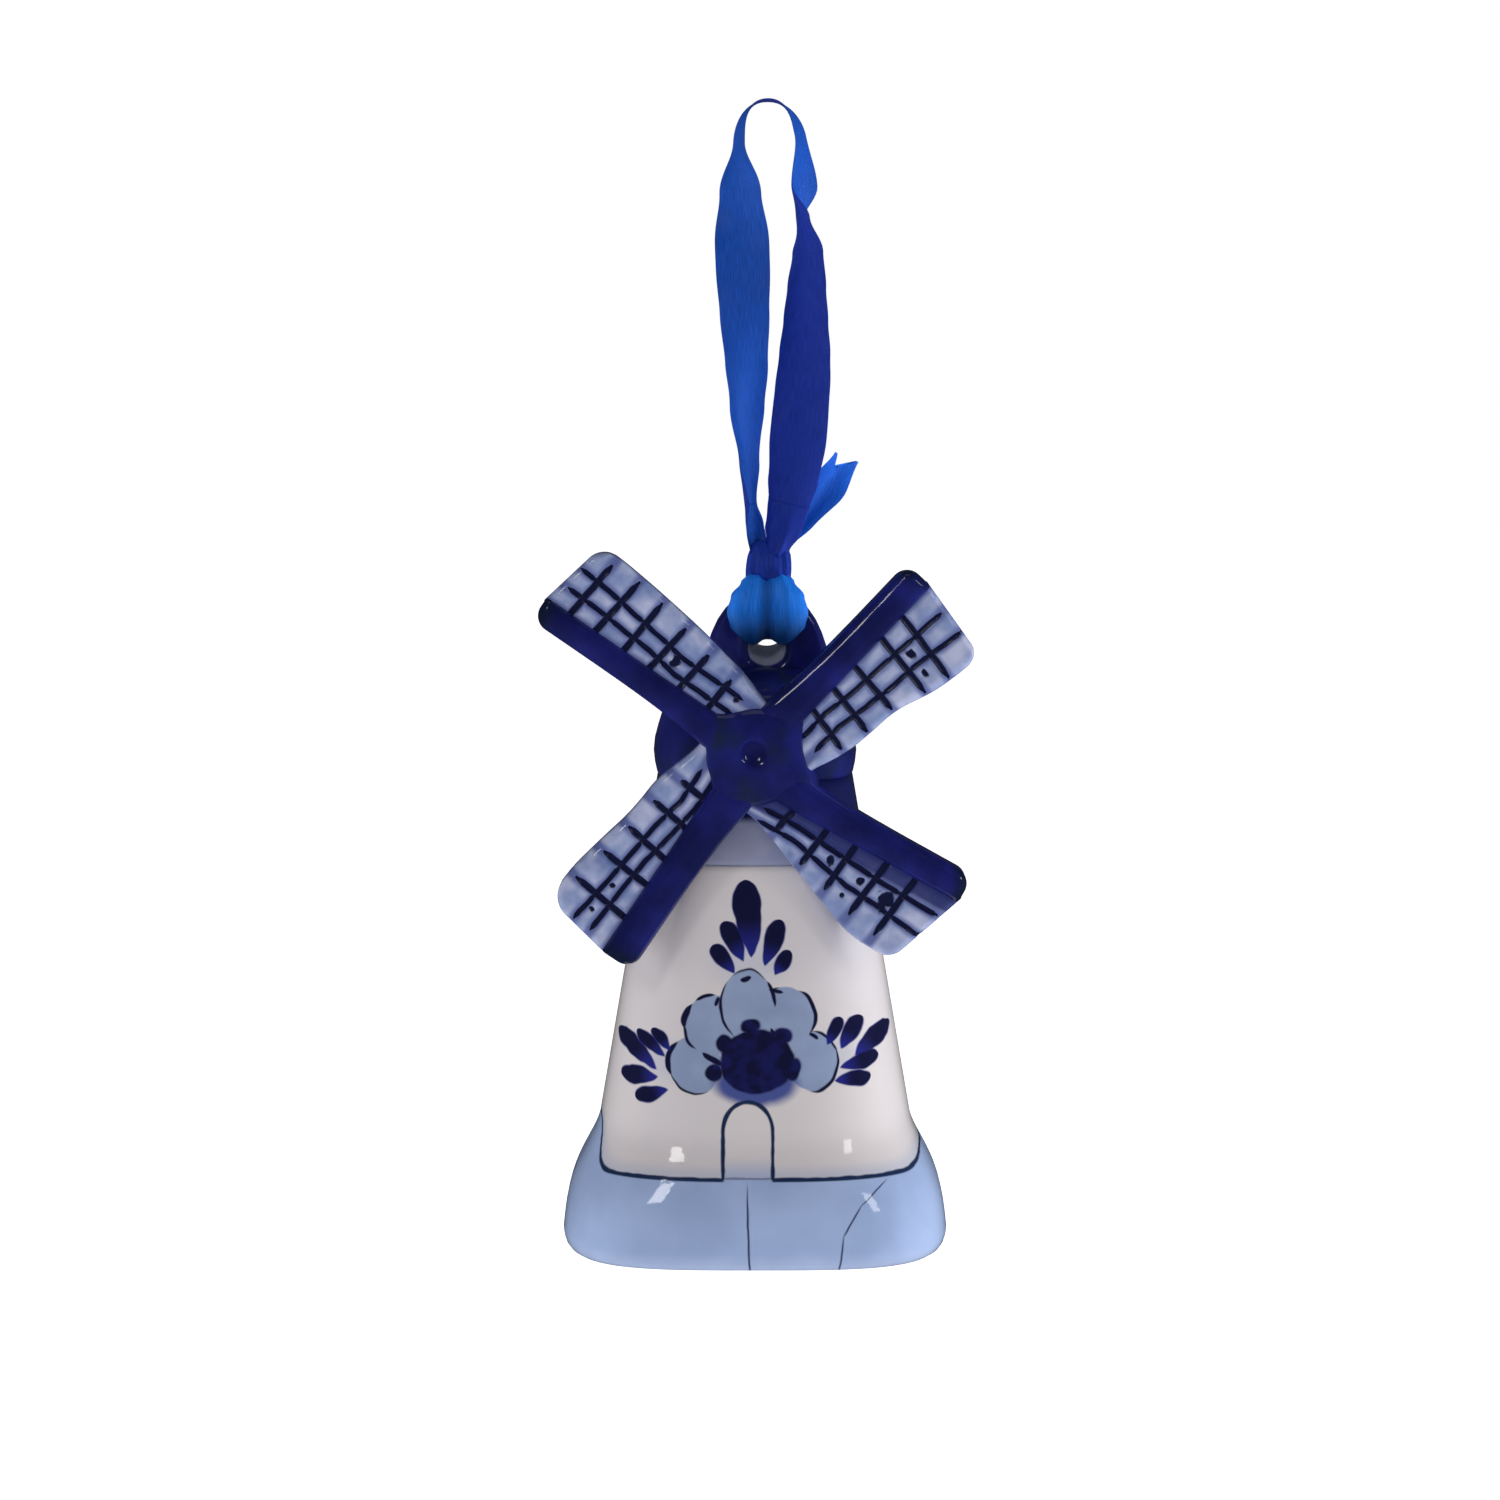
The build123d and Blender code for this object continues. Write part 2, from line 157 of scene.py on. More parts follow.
# ---- Satin ribbon: the loop ---------------------------------------------------------------------
# One length of royal-blue satin ribbon, 7 mm wide, goes from the knot up over the hook and back.
# It is woven with a shiny face and a duller back, and it twists on the way. The face's lighter colour
# is partly the real duller back and partly painted sheen.
def loft(count, stations, place, ends):
    """A ring of points grown through the stations. place(turn, station) says where each point
    goes. The ends are left "open", are "filled" flat, or are "joined" to each other."""
    shape = bmesh.new()
    bmesh.ops.create_circle(shape, segments=count, radius=1)
    turn = shape.verts.layers.float.new("turn")
    along = shape.verts.layers.float.new("along")
    for vert in shape.verts:
        vert[turn] = math.atan2(vert.co.y, vert.co.x) % math.tau
    first = list(shape.edges)
    edges = first
    for vert in shape.verts:
        vert.co = place(vert[turn], stations[0])
    for step, station in enumerate(stations[1:], 1):
        grown = bmesh.ops.extrude_edge_only(shape, edges=edges)["geom"]
        verts = {part for part in grown if isinstance(part, bmesh.types.BMVert)}
        edges = [part for part in grown if isinstance(part, bmesh.types.BMEdge)
                 and part.verts[0] in verts and part.verts[1] in verts]
        for vert in verts:
            vert[along] = step
            vert.co = place(vert[turn], station)
    if ends == "joined":
        bmesh.ops.bridge_loops(shape, edges=first + edges)
    elif ends == "filled":
        for loop in (first, edges):
            bmesh.ops.edgeloop_fill(shape, edges=loop)
    bmesh.ops.recalc_face_normals(shape, faces=shape.faces)
    return shape


def add_piece(name, shape, body, slot, *finishes):
    """Turns the mesh into a smooth piece of the object that moves with one body."""
    for face in shape.faces:
        face.smooth = True
    data = bpy.data.meshes.new(name)
    shape.to_mesh(data)
    shape.free()
    for finish in finishes:
        data.materials.append(finish)
    piece = bpy.data.objects.new(name, data)
    bpy.context.scene.collection.objects.link(piece)
    if body:
        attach(piece, body)
    return piece


def smooth_between(keys, place):
    """A smooth value between (place, value) keys."""
    for (low, low_value), (high, high_value) in zip(keys, keys[1:]):
        if place <= high:
            share = max(0, (place - low) / (high - low))
            share = share * share * (3 - 2 * share)
            return low_value + (high_value - low_value) * share
    return keys[-1][1]


ribbon_thickness = 0.28 * mm


def ribbon_strip(line, slant, half_width, cup, forward=Vector((0, 1, 0)), folds=None, trim=None):
    """A flat ribbon along a line of points. slant turns its width, in degrees, away from forward;
    cup bows its section; folds adds pleats; trim slides points along the line, to cut or drape it."""
    reach = [0]
    for before, after in zip(line, line[1:]):
        reach.append(reach[-1] + (after - before).length)
    stations = []
    for step, point in enumerate(line):
        ahead = line[min(step + 1, len(line) - 1)] - line[max(step - 1, 0)]
        ahead.normalize()
        depth = (forward - ahead * forward.dot(ahead)).normalized()
        flat = ahead.cross(depth)
        share = reach[step] / reach[-1]
        angle = math.radians(slant(share))
        side = depth * math.cos(angle) + flat * math.sin(angle)
        stations.append((point, side, ahead.cross(side), share, reach[step], ahead))

    def place(turn, station):
        point, side, face, share, _, ahead = station
        across = math.cos(turn)
        bow = cup(share) * (1 - across * across)
        if folds:
            bow += folds(share, across)
        skin = 0.5 * ribbon_thickness * math.sin(turn)
        slide = ahead * trim(share, across) if trim else Vector()
        return point + side * across * half_width(share) + face * (bow + skin) + slide

    shape = loft(64, stations, place, "filled")
    grain = shape.loops.layers.uv.new("weave")
    turn = shape.verts.layers.float["turn"]
    along = shape.verts.layers.float["along"]
    for face in shape.faces:
        turns = [vert[turn] for vert in face.verts]
        back = sum(math.sin(value) for value in turns) < 0
        for corner in face.loops:
            station = stations[int(corner.vert[along])]
            across = math.cos(corner.vert[turn]) * half_width(station[3])
            corner[grain].uv = (across / mm + (20 if back else 0), station[4] / mm)
    return shape


def connect(tree, socket, value):
    """Sets a socket to a plain value, or links it to another node's output."""
    if isinstance(value, bpy.types.NodeSocket):
        tree.links.new(value, socket)
    else:
        socket.default_value = value


def calc(tree, operation, *values):
    node = tree.nodes.new("ShaderNodeMath")
    node.operation = operation
    for socket, value in zip(node.inputs, values):
        connect(tree, socket, value)
    return node.outputs[0]


def blend_colours(tree, share, low, high):
    node = tree.nodes.new("ShaderNodeMix")
    node.data_type = "RGBA"
    connect(tree, node.inputs["Factor"], share)
    for socket, value in ((node.inputs[6], low), (node.inputs[7], high)):
        connect(tree, socket, value if isinstance(value, bpy.types.NodeSocket) else (*value, 1))
    return node.outputs[2]


def fade(tree, value, start, end, low=0.0, high=1.0):
    """Goes smoothly from low to high while the value goes from start to end."""
    node = tree.nodes.new("ShaderNodeMapRange")
    node.interpolation_type = "SMOOTHSTEP"
    for socket, amount in zip(node.inputs, (value, start, end, low, high)):
        connect(tree, socket, amount)
    return node.outputs[0]


def speckle(tree, vector, scale, detail=2.0):
    node = tree.nodes.new("ShaderNodeTexNoise")
    node.inputs["Scale"].default_value = scale
    node.inputs["Detail"].default_value = detail
    connect(tree, node.inputs["Vector"], vector)
    return node.outputs["Fac"]


def split(tree, vector):
    node = tree.nodes.new("ShaderNodeSeparateXYZ")
    connect(tree, node.inputs[0], vector)
    return node.outputs


def new_finish(name):
    finish = bpy.data.materials.new(name)
    finish.use_nodes = True
    tree = finish.node_tree
    return finish, tree, tree.nodes["Principled BSDF"]


def bump(tree, shader, height, distance, strength=1.0):
    node = tree.nodes.new("ShaderNodeBump")
    node.inputs["Distance"].default_value = distance
    node.inputs["Strength"].default_value = strength
    connect(tree, node.inputs["Height"], height)
    connect(tree, shader.inputs["Normal"], node.outputs[0])


def satin(name, face_colour, back_colour, shadow=None):
    """Satin weave: long floats along the ribbon, a fine cross rib, a shiny face and a duller back. The
    face is painted lighter than the back, partly painted sheen. shadow gives the painted shade: the share
    of colour left in the depths of the folds."""
    finish, tree, shader = new_finish(name)
    grain = tree.nodes.new("ShaderNodeUVMap")
    grain.uv_map = "weave"
    across, along, _ = split(tree, grain.outputs[0])
    stretched = tree.nodes.new("ShaderNodeCombineXYZ")
    connect(tree, stretched.inputs[0], calc(tree, "MULTIPLY", across, 9.0))
    connect(tree, stretched.inputs[1], calc(tree, "MULTIPLY", along, 0.5))
    floats = speckle(tree, stretched.outputs[0], 1.0, 3.0)
    rib = calc(tree, "SINE", calc(tree, "MULTIPLY", along, 26.0))
    weave = calc(tree, "ADD", calc(tree, "MULTIPLY", rib, 0.25), floats)
    is_back = calc(tree, "GREATER_THAN", across, 10.0)
    base = blend_colours(tree, is_back, face_colour, back_colour)
    shade = fade(tree, floats, 0.30, 0.70, 0.78, 1.12)
    if shadow:
        shade = calc(tree, "MULTIPLY", shade, shadow(tree))
    toned = tree.nodes.new("ShaderNodeVectorMath")
    toned.operation = "SCALE"
    connect(tree, toned.inputs[0], base)
    connect(tree, toned.inputs["Scale"], shade)
    connect(tree, shader.inputs["Base Color"], toned.outputs[0])
    connect(tree, shader.inputs["Roughness"], fade(tree, floats, 0.3, 0.7, 0.36, 0.48))
    shader.inputs["Specular IOR Level"].default_value = 0.18
    shader.inputs["Anisotropic"].default_value = 0.5
    shader.inputs["Sheen Weight"].default_value = 0.06
    shader.inputs["Sheen Roughness"].default_value = 0.4
    shader.inputs["Sheen Tint"].default_value = (0.15, 0.4, 1, 1)
    bump(tree, shader, weave, 0.00003, 0.5)
    return finish


ribbon_finish = satin("satin_strands", (0.009, 0.085, 0.50), (0.009, 0.034, 0.36))

strand_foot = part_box("ribbon_loop")[0].z
strand_spread = 7.3 * mm
tube_radius = 1.0 * mm
loop_route = [
    (-tube_radius - 0.1 * mm, 0, strand_foot),
    (-0.30 * strand_spread, 0.5 * mm, 0.80 * strand_foot),
    (-0.38 * strand_spread, 0.9 * mm, 0.50 * strand_foot),
    (-0.44 * strand_spread, 0.4 * mm, 0.24 * strand_foot),
    (-0.50 * strand_spread, 0, tube_radius),
    (0.50 * strand_spread, 0, tube_radius),
    (0.62 * strand_spread, -0.5 * mm, 0.24 * strand_foot),
    (0.55 * strand_spread, -0.9 * mm, 0.50 * strand_foot),
    (0.42 * strand_spread, -0.4 * mm, 0.80 * strand_foot),
    (tube_radius + 0.1 * mm, 0, strand_foot),
]


def smooth_line(name, points, steps):
    """The points of the smooth curve that the route's points pull along."""
    curve = bpy.data.curves.new(name, "CURVE")
    curve.dimensions = "3D"
    curve.resolution_u = steps
    spline = curve.splines.new("NURBS")
    spline.points.add(len(points) - 1)
    for control, point in zip(spline.points, points):
        control.co = (*point, 1)
    spline.order_u = 3
    spline.use_endpoint_u = True
    holder = bpy.data.objects.new(name, curve)
    bpy.context.scene.collection.objects.link(holder)
    line_mesh = bpy.data.meshes.new_from_object(holder)
    line = [vert.co.copy() for vert in line_mesh.vertices]
    bpy.data.objects.remove(holder)
    bpy.data.meshes.remove(line_mesh)
    return line


loop_slants = [(0, 165), (0.05, 157), (0.12, 140), (0.17, 128), (0.23, 114), (0.29, 95), (0.37, 50),
               (0.43, 12), (0.50, 0), (0.56, 12), (0.62, 27), (0.66, -6), (0.70, -32), (0.74, -42),
               (0.78, -51), (0.82, -63), (0.86, -74), (0.92, -86), (1, -90)]
loop_halves = [(0, 1.7), (0.05, 2.9), (0.12, 3.25), (0.5, 3.25), (0.6, 3.4), (0.92, 3.4), (0.97, 3.0),
               (1, 2.5)]
loop_drift = [(0, -0.5), (0.08, -0.3), (0.16, 0.1), (0.5, 0.1), (0.62, 0.2), (0.72, 0.6), (0.85, 0.9),
              (1, 1.5)]
loop_cups = [(0, 0.9), (0.1, 0.8), (0.25, 0.35), (0.40, 0.4), (0.50, 0.05), (0.56, 0.3), (0.64, 1.15),
             (0.72, 0.7), (0.85, 0.3), (1, 0.8)]
loop_line = smooth_line("ribbon_route", loop_route, 24)
loop_reach = [0]
for before, after in zip(loop_line, loop_line[1:]):
    loop_reach.append(loop_reach[-1] + (after - before).length)
hung_line = [point + Vector((smooth_between(loop_drift, reach / loop_reach[-1]) * mm, 0, 0))
             for point, reach in zip(loop_line, loop_reach)]
strands = add_piece("ribbon_strands", ribbon_strip(
    hung_line,
    lambda share: smooth_between(loop_slants, share),
    lambda share: smooth_between(loop_halves, share) * mm,
    lambda share: -smooth_between(loop_cups, share) * mm), None, "satin_ribbon", ribbon_finish)
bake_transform(strands, "ribbon", "neck", start=(0, 0, 0.2 * strand_foot), end=(0, 0, strand_foot))
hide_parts("ribbon_loop")


# ---- White tower ------------------------------------------------------------------------------------
# A slip-cast porcelain shell, 3 mm thick and four-sided with round corners, under a clear glaze. A
# flower, three sprays and a door are painted on its front in cobalt, under the glaze.
foot_rise = 2.2
seam_rise = 10.6
skirt_rise = 15.7
foot_half = (foot_high.x - foot_low.x) / 2 / mm
tower_rise = 46.4
collar_rise = 56.0
waist_half = 18.6
batter = 0.171
shell_wall = 3.0


def skirt_half(height):
    rise = max(0.0, height - foot_rise) / (skirt_rise - foot_rise)
    sweep = 0.7 * 0.5 * (1 + math.cos(math.pi * rise ** 1.5)) + 0.3 * (1 - rise)
    return waist_half + (foot_half - waist_half) * sweep


def body_half(height):
    return skirt_half(height) if height < skirt_rise else waist_half - batter * (height - skirt_rise)


def body_place(turn, station):
    """A point of a rounded square. station: height, half width, half depth, squareness."""
    height, half_x, half_y, power = station
    across = math.copysign(abs(math.cos(turn)) ** (2 / power), math.cos(turn))
    deep = math.copysign(abs(math.sin(turn)) ** (2 / power), math.sin(turn))
    return Vector((axis_x + half_x * mm * across, half_y * mm * deep, level(height)))


def body_station(height, inset=0.0):
    half = body_half(height) - inset
    power = 3.5 - 0.9 * min(1, height / skirt_rise)
    return height, half, half, power


def mixed(low, high, share):
    return low + (high - low) * share


def glaze(name):
    """Fired porcelain under a clear, slightly rippled glaze. Returns where its colours are mixed."""
    finish, tree, shader = new_finish(name)
    shader.inputs["Roughness"].default_value = 0.4
    shader.inputs["Specular IOR Level"].default_value = 0.1
    shader.inputs["Coat Weight"].default_value = 0.9
    shader.inputs["Coat Roughness"].default_value = 0.05
    spot = tree.nodes.new("ShaderNodeTexCoord").outputs["Object"]
    ripple = calc(tree, "ADD", speckle(tree, spot, 90.0, 1.0),
                  calc(tree, "MULTIPLY", speckle(tree, spot, 700.0, 2.0), 0.10))
    node = tree.nodes.new("ShaderNodeBump")
    node.inputs["Distance"].default_value = 0.0012
    node.inputs["Strength"].default_value = 0.16
    connect(tree, node.inputs["Height"], ripple)
    connect(tree, shader.inputs["Coat Normal"], node.outputs[0])
    connect(tree, shader.inputs["Normal"], node.outputs[0])
    return finish, tree, shader, spot


def measured_spot(tree, spot):
    """Millimetres from the tower's axis, forward and up from the rim, as three sockets."""
    node = tree.nodes.new("ShaderNodeMapping")
    connect(tree, node.inputs["Vector"], spot)
    node.inputs["Scale"].default_value = (1 / mm, 1 / mm, 1 / mm)
    node.inputs["Location"].default_value = (-axis_x / mm, 0, -rim / mm)
    return split(tree, node.outputs[0])


def flat_spot(tree, spot, wobble=0.3):
    """Where on the flat front a painted mark is, with the small wander of a brush."""
    x, _, height = measured_spot(tree, spot)
    wander = tree.nodes.new("ShaderNodeTexNoise")
    wander.inputs["Scale"].default_value = 420.0
    wander.inputs["Detail"].default_value = 1.0
    connect(tree, wander.inputs["Vector"], spot)
    red, green, _ = split(tree, wander.outputs["Color"])
    flat = tree.nodes.new("ShaderNodeCombineXYZ")
    for socket, value, shift in ((flat.inputs[0], x, red), (flat.inputs[1], height, green)):
        shift = calc(tree, "MULTIPLY", calc(tree, "SUBTRACT", shift, 0.5), wobble * 2)
        connect(tree, socket, calc(tree, "ADD", value, shift))
    return flat.outputs[0]


def aligned(tree, flat, start, angle, size_along, size_across):
    node = tree.nodes.new("ShaderNodeMapping")
    node.vector_type = "TEXTURE"
    connect(tree, node.inputs["Vector"], flat)
    node.inputs["Location"].default_value = (*start, 0)
    node.inputs["Rotation"].default_value = (0, 0, angle)
    node.inputs["Scale"].default_value = (size_along, size_across, 1)
    return node.outputs[0]


def brush_drop(tree, flat, fat, tip, width):
    """One press of a full brush: round where it lands, pointed where it lifts. Inside is above 0,
    in millimetres from the edge; the second value runs from 0 at the round end to 1 at the point."""
    reach = Vector(tip) - Vector(fat)
    along, across, _ = split(tree, aligned(tree, flat, fat, math.atan2(reach.y, reach.x),
                                           reach.length, reach.length))
    inside = calc(tree, "MAXIMUM", along, 0.0)
    lift = calc(tree, "POWER", calc(tree, "MAXIMUM", calc(tree, "SUBTRACT", 1.0, along), 0.0), 0.85)
    half = calc(tree, "MULTIPLY", calc(tree, "SQRT", inside), lift)
    half = calc(tree, "MULTIPLY", half, 1.23 * width / reach.length)
    edge = calc(tree, "SUBTRACT", half, calc(tree, "ABSOLUTE", across))
    past = calc(tree, "SUBTRACT", calc(tree, "ABSOLUTE", calc(tree, "SUBTRACT", along, 0.5)), 0.5)
    edge = calc(tree, "SUBTRACT", edge, calc(tree, "MAXIMUM", past, 0.0))
    return calc(tree, "MULTIPLY", edge, reach.length), along


def brush_oval(tree, flat, centre, angle, long, short):
    """An oval touch of the brush: above 0 inside, in millimetres from its edge."""
    spot = aligned(tree, flat, centre, angle, long, short)
    length = tree.nodes.new("ShaderNodeVectorMath")
    length.operation = "LENGTH"
    connect(tree, length.inputs[0], spot)
    return calc(tree, "MULTIPLY", calc(tree, "SUBTRACT", 1.0, length.outputs["Value"]), min(long, short))


def brush_line(tree, flat, start, end, half_width):
    """A straight drag of the brush, thinning to both ends: above 0 inside."""
    middle = (Vector(start) + Vector(end)) / 2
    reach = Vector(end) - Vector(start)
    along, across, _ = split(tree, aligned(tree, flat, middle, math.atan2(reach.y, reach.x),
                                           reach.length / 2, 1.0))
    taper = calc(tree, "SUBTRACT", 1.0, calc(tree, "POWER", calc(tree, "ABSOLUTE", along), 4.0))
    half = calc(tree, "MULTIPLY", taper, half_width)
    return calc(tree, "SUBTRACT", half, calc(tree, "ABSOLUTE", across))


def brush_arc(tree, flat, centre, angle, long, short, middle, half_angle, half_width):
    """Part of an oval's outline, thinning to both ends: above 0 inside."""
    spot = aligned(tree, flat, centre, angle, long, short)
    along, across, _ = split(tree, spot)
    around = calc(tree, "SUBTRACT", calc(tree, "ARCTAN2", across, along), middle)
    around = calc(tree, "ABSOLUTE", calc(tree, "WRAP", around, math.pi, -math.pi))
    taper = calc(tree, "SUBTRACT", 1.0, calc(tree, "POWER", calc(tree, "DIVIDE", around, half_angle), 3.0))
    edge = brush_oval(tree, flat, centre, angle, long, short)
    half = calc(tree, "MAXIMUM", calc(tree, "MULTIPLY", taper, half_width), -0.4)
    return calc(tree, "SUBTRACT", half, calc(tree, "ABSOLUTE", edge))


def attribute(tree, name):
    node = tree.nodes.new("ShaderNodeAttribute")
    node.attribute_name = name
    return node.outputs["Fac"]


def most(tree, values):
    best = values[0]
    for value in values[1:]:
        best = calc(tree, "MAXIMUM", best, value)
    return best


door_middle = -0.85
door_half = 2.9
line_half = 0.24
navy = (0.0065, 0.0075, 0.045)
cobalt = (0.020, 0.026, 0.30)
pale_blue = (0.34, 0.43, 0.65)
milk = (0.80, 0.76, 0.77)


def ground_line(tree, x, y, height):
    """How far above the painted line a spot is. The line climbs at the front corners."""
    side = fade(tree, y, -15.5, -4.0)
    climb = fade(tree, x, -14.0, 14.0, 5.2, 1.6)
    base = calc(tree, "ADD", seam_rise, calc(tree, "MULTIPLY", side, climb))
    return calc(tree, "SUBTRACT", height, base)


def foot_wash(tree, spot):
    """The cloudy pale blue laid on the foot, up to the painted line."""
    cloud = fade(tree, speckle(tree, spot, 110.0, 3.0), 0.3, 0.7)
    return blend_colours(tree, cloud, (0.375, 0.50, 0.80), (0.45, 0.595, 0.92))


def bare_inside(tree, colour, last_outer):
    """The inner wall of the shell is plain white. It starts after the last outer station."""
    inside = fade(tree, attribute(tree, "along"), last_outer + 0.3, last_outer + 0.7)
    return blend_colours(tree, inside, colour, milk)


def tower_paint():
    finish, tree, shader, spot = glaze("painted_tower")
    x, y, height = measured_spot(tree, spot)
    flat = flat_spot(tree, spot)
    facing = fade(tree, y, -4.0, -6.0)
    cloud = fade(tree, speckle(tree, spot, 60.0, 2.0), 0.3, 0.7)
    colour = blend_colours(tree, cloud, milk, (0.775, 0.74, 0.765))

    above = ground_line(tree, x, y, height)
    colour = blend_colours(tree, fade(tree, above, 1.9, 0.3, 0.0, 0.55), colour, (0.50, 0.56, 0.74))
    spar_shade = foot_wash(tree, spot)
    colour = blend_colours(tree, fade(tree, above, 0.1, -0.1), colour, spar_shade)

    # Halo of thin blue between the sprays and the flower
    halo = most(tree, [brush_oval(tree, flat, (-0.6, 35.2), 0, 4.6, 2.6),
                       brush_oval(tree, flat, (-10.2, 23.6), 0.2, 2.6, 2.2),
                       brush_oval(tree, flat, (9.6, 24.2), -0.2, 2.2, 2.4)])
    colour = blend_colours(tree, fade(tree, halo, -1.4, 1.6, 0.0, 0.42), colour, (0.50, 0.56, 0.74))

    # Petals, the outer ones first, each with a broken dark outline
    petals = [((-7.1, 23.4), 0, 3.1, 3.3, ((2.9, 0.7, 0.34), (4.3, 0.9, 0.14))),
              ((6.8, 23.8), 0, 3.0, 3.4, ((0.9, 0.7, 0.15), (-0.6, 1.1, 0.20))),
              ((3.6, 28.9), 0, 3.4, 3.6, ((0.25, 0.85, 0.26), (2.1, 0.3, 0.12))),
              ((-4.8, 28.1), 0.5, 3.6, 3.4, ((2.35, 0.45, 0.36), (1.4, 0.35, 0.24), (3.1, 0.5, 0.20))),
              ((-0.9, 30.4), 0, 3.1, 4.1, ((3.3, 0.9, 0.17), (1.5, 0.7, 0.10), (0.35, 0.4, 0.24)))]
    thinned = fade(tree, speckle(tree, spot, 260.0, 2.0), 0.25, 0.75)
    tint = blend_colours(tree, thinned, (0.29, 0.37, 0.57), pale_blue)
    for centre, angle, long, short, arcs in petals:
        edge = brush_oval(tree, flat, centre, angle, long, short)
        colour = blend_colours(tree, fade(tree, edge, -0.12, 0.12), colour, tint)
        lines = most(tree, [brush_arc(tree, flat, centre, angle, long, short, *arc) for arc in arcs])
        colour = blend_colours(tree, fade(tree, lines, -0.09, 0.10), colour, navy)
    ticks = [((1.6, 32.1), (3.3, 31.9), 0.20), ((-1.8, 33.3), (-0.5, 33.6), 0.26),
             ((-4.2, 31.4), (-4.6, 30.2), 0.24), ((-6.2, 24.9), (-3.9, 23.4), 0.34),
             ((6.4, 27.0), (7.5, 26.5), 0.20), ((1.8, 27.8), (2.3, 26.2), 0.26)]
    marks = most(tree, [brush_line(tree, flat, *tick) for tick in ticks])
    colour = blend_colours(tree, fade(tree, marks, -0.10, 0.10), colour, navy)

    # Thin wash below the heart of the flower, then the dark scalloped heart
    under = brush_oval(tree, flat, (0.1, 21.4), 0, 4.9, 2.6)
    colour = blend_colours(tree, fade(tree, under, -0.5, 0.6, 0.0, 0.95), colour, (0.040, 0.075, 0.34))
    heart = most(tree, [brush_oval(tree, flat, (0.2, 23.9), 0, 4.4, 3.7),
                        brush_oval(tree, flat, (-0.5, 28.0), 0, 1.2, 0.85),
                        brush_oval(tree, flat, (-3.6, 25.9), 0.4, 1.0, 1.0),
                        brush_oval(tree, flat, (3.2, 26.9), -0.2, 1.2, 0.95),
                        brush_oval(tree, flat, (-4.8, 22.6), 0.2, 1.0, 1.0),
                        brush_oval(tree, flat, (4.5, 23.0), -0.2, 0.9, 1.3)])
    petal_grain = fade(tree, speckle(tree, spot, 620.0, 1.5), 0.38, 0.62)
    heart_tint = blend_colours(tree, petal_grain, navy, (0.010, 0.012, 0.105))
    colour = blend_colours(tree, fade(tree, heart, -0.18, 0.16), colour, heart_tint)

    # Sprays of brush drops: round end, pointed end, width
    drops = [((-1.2, 44.9), (-0.4, 35.9), 3.4), ((-3.7, 40.1), (-1.3, 35.4), 2.2),
             ((-5.0, 37.2), (-2.4, 34.1), 2.0), ((2.9, 40.3), (1.2, 34.9), 2.4),
             ((4.1, 36.6), (2.3, 33.8), 1.8), ((-16.2, 26.5), (-11.5, 22.7), 2.2),
             ((-13.9, 26.9), (-10.5, 24.1), 1.6), ((-12.0, 27.3), (-9.9, 24.9), 1.4),
             ((-15.8, 21.6), (-11.4, 21.9), 2.2), ((-14.1, 19.2), (-10.2, 20.4), 1.9),
             ((10.1, 28.7), (8.5, 25.7), 1.7), ((12.4, 28.7), (10.1, 25.1), 2.1),
             ((15.9, 27.3), (11.6, 24.2), 2.4), ((14.5, 24.0), (10.1, 22.9), 2.0),
             ((13.7, 21.6), (9.4, 21.6), 1.8)]
    for fat, tip, width in drops:
        edge, along = brush_drop(tree, flat, fat, tip, width)
        lift = calc(tree, "MAXIMUM", fade(tree, along, 0.45, 0.95, 0.0, 0.85),
                    fade(tree, edge, 0.25, 0.0, 0.0, 0.6))
        paint = blend_colours(tree, lift, navy, cobalt)
        colour = blend_colours(tree, fade(tree, edge, -0.13, 0.13), colour, paint)

    # The door: white inside its outline, fading to the blue of the foot at its sill
    aside = calc(tree, "SUBTRACT", x, door_middle)
    arch = calc(tree, "MAXIMUM", calc(tree, "SUBTRACT", height, 15.9), 0.0)
    span = calc(tree, "SQRT", calc(tree, "ADD", calc(tree, "POWER", calc(tree, "ABSOLUTE", aside), 2.0),
                                  calc(tree, "POWER", calc(tree, "MULTIPLY", arch, 0.86), 2.0)))
    door = calc(tree, "SUBTRACT", span, door_half)
    sill = blend_colours(tree, fade(tree, height, 10.6, 13.4), (0.48, 0.55, 0.78), milk)
    colour = blend_colours(tree, fade(tree, door, 0.1, -0.1), colour, sill)

    thin = fade(tree, speckle(tree, spot, 500.0, 1.0), 0.3, 0.7, 0.75, 1.15)
    outline = calc(tree, "SUBTRACT", calc(tree, "MULTIPLY", thin, line_half), calc(tree, "ABSOLUTE", door))
    beside = calc(tree, "SUBTRACT", calc(tree, "ABSOLUTE", aside), door_half)
    base = calc(tree, "SUBTRACT", calc(tree, "MULTIPLY", thin, line_half), calc(tree, "ABSOLUTE", above))
    base = calc(tree, "MINIMUM", base, calc(tree, "MAXIMUM", beside, fade(tree, y, -10.0, -8.0, 0.0, 5.0)))
    ink_tint = (0.012, 0.030, 0.095)
    painted = calc(tree, "MULTIPLY", fade(tree, outline, -0.10, 0.10), facing)
    painted = calc(tree, "MAXIMUM", painted, fade(tree, base, -0.10, 0.10))
    plain = blend_colours(tree, fade(tree, above, 1.9, 0.3, 0.0, 0.55), milk, (0.50, 0.56, 0.74))
    plain = blend_colours(tree, fade(tree, above, 0.1, -0.1), plain, spar_shade)
    colour = blend_colours(tree, facing, plain, colour)
    colour = blend_colours(tree, painted, colour, ink_tint)
    connect(tree, shader.inputs["Base Color"], bare_inside(tree, colour, last_outer=17))
    return finish


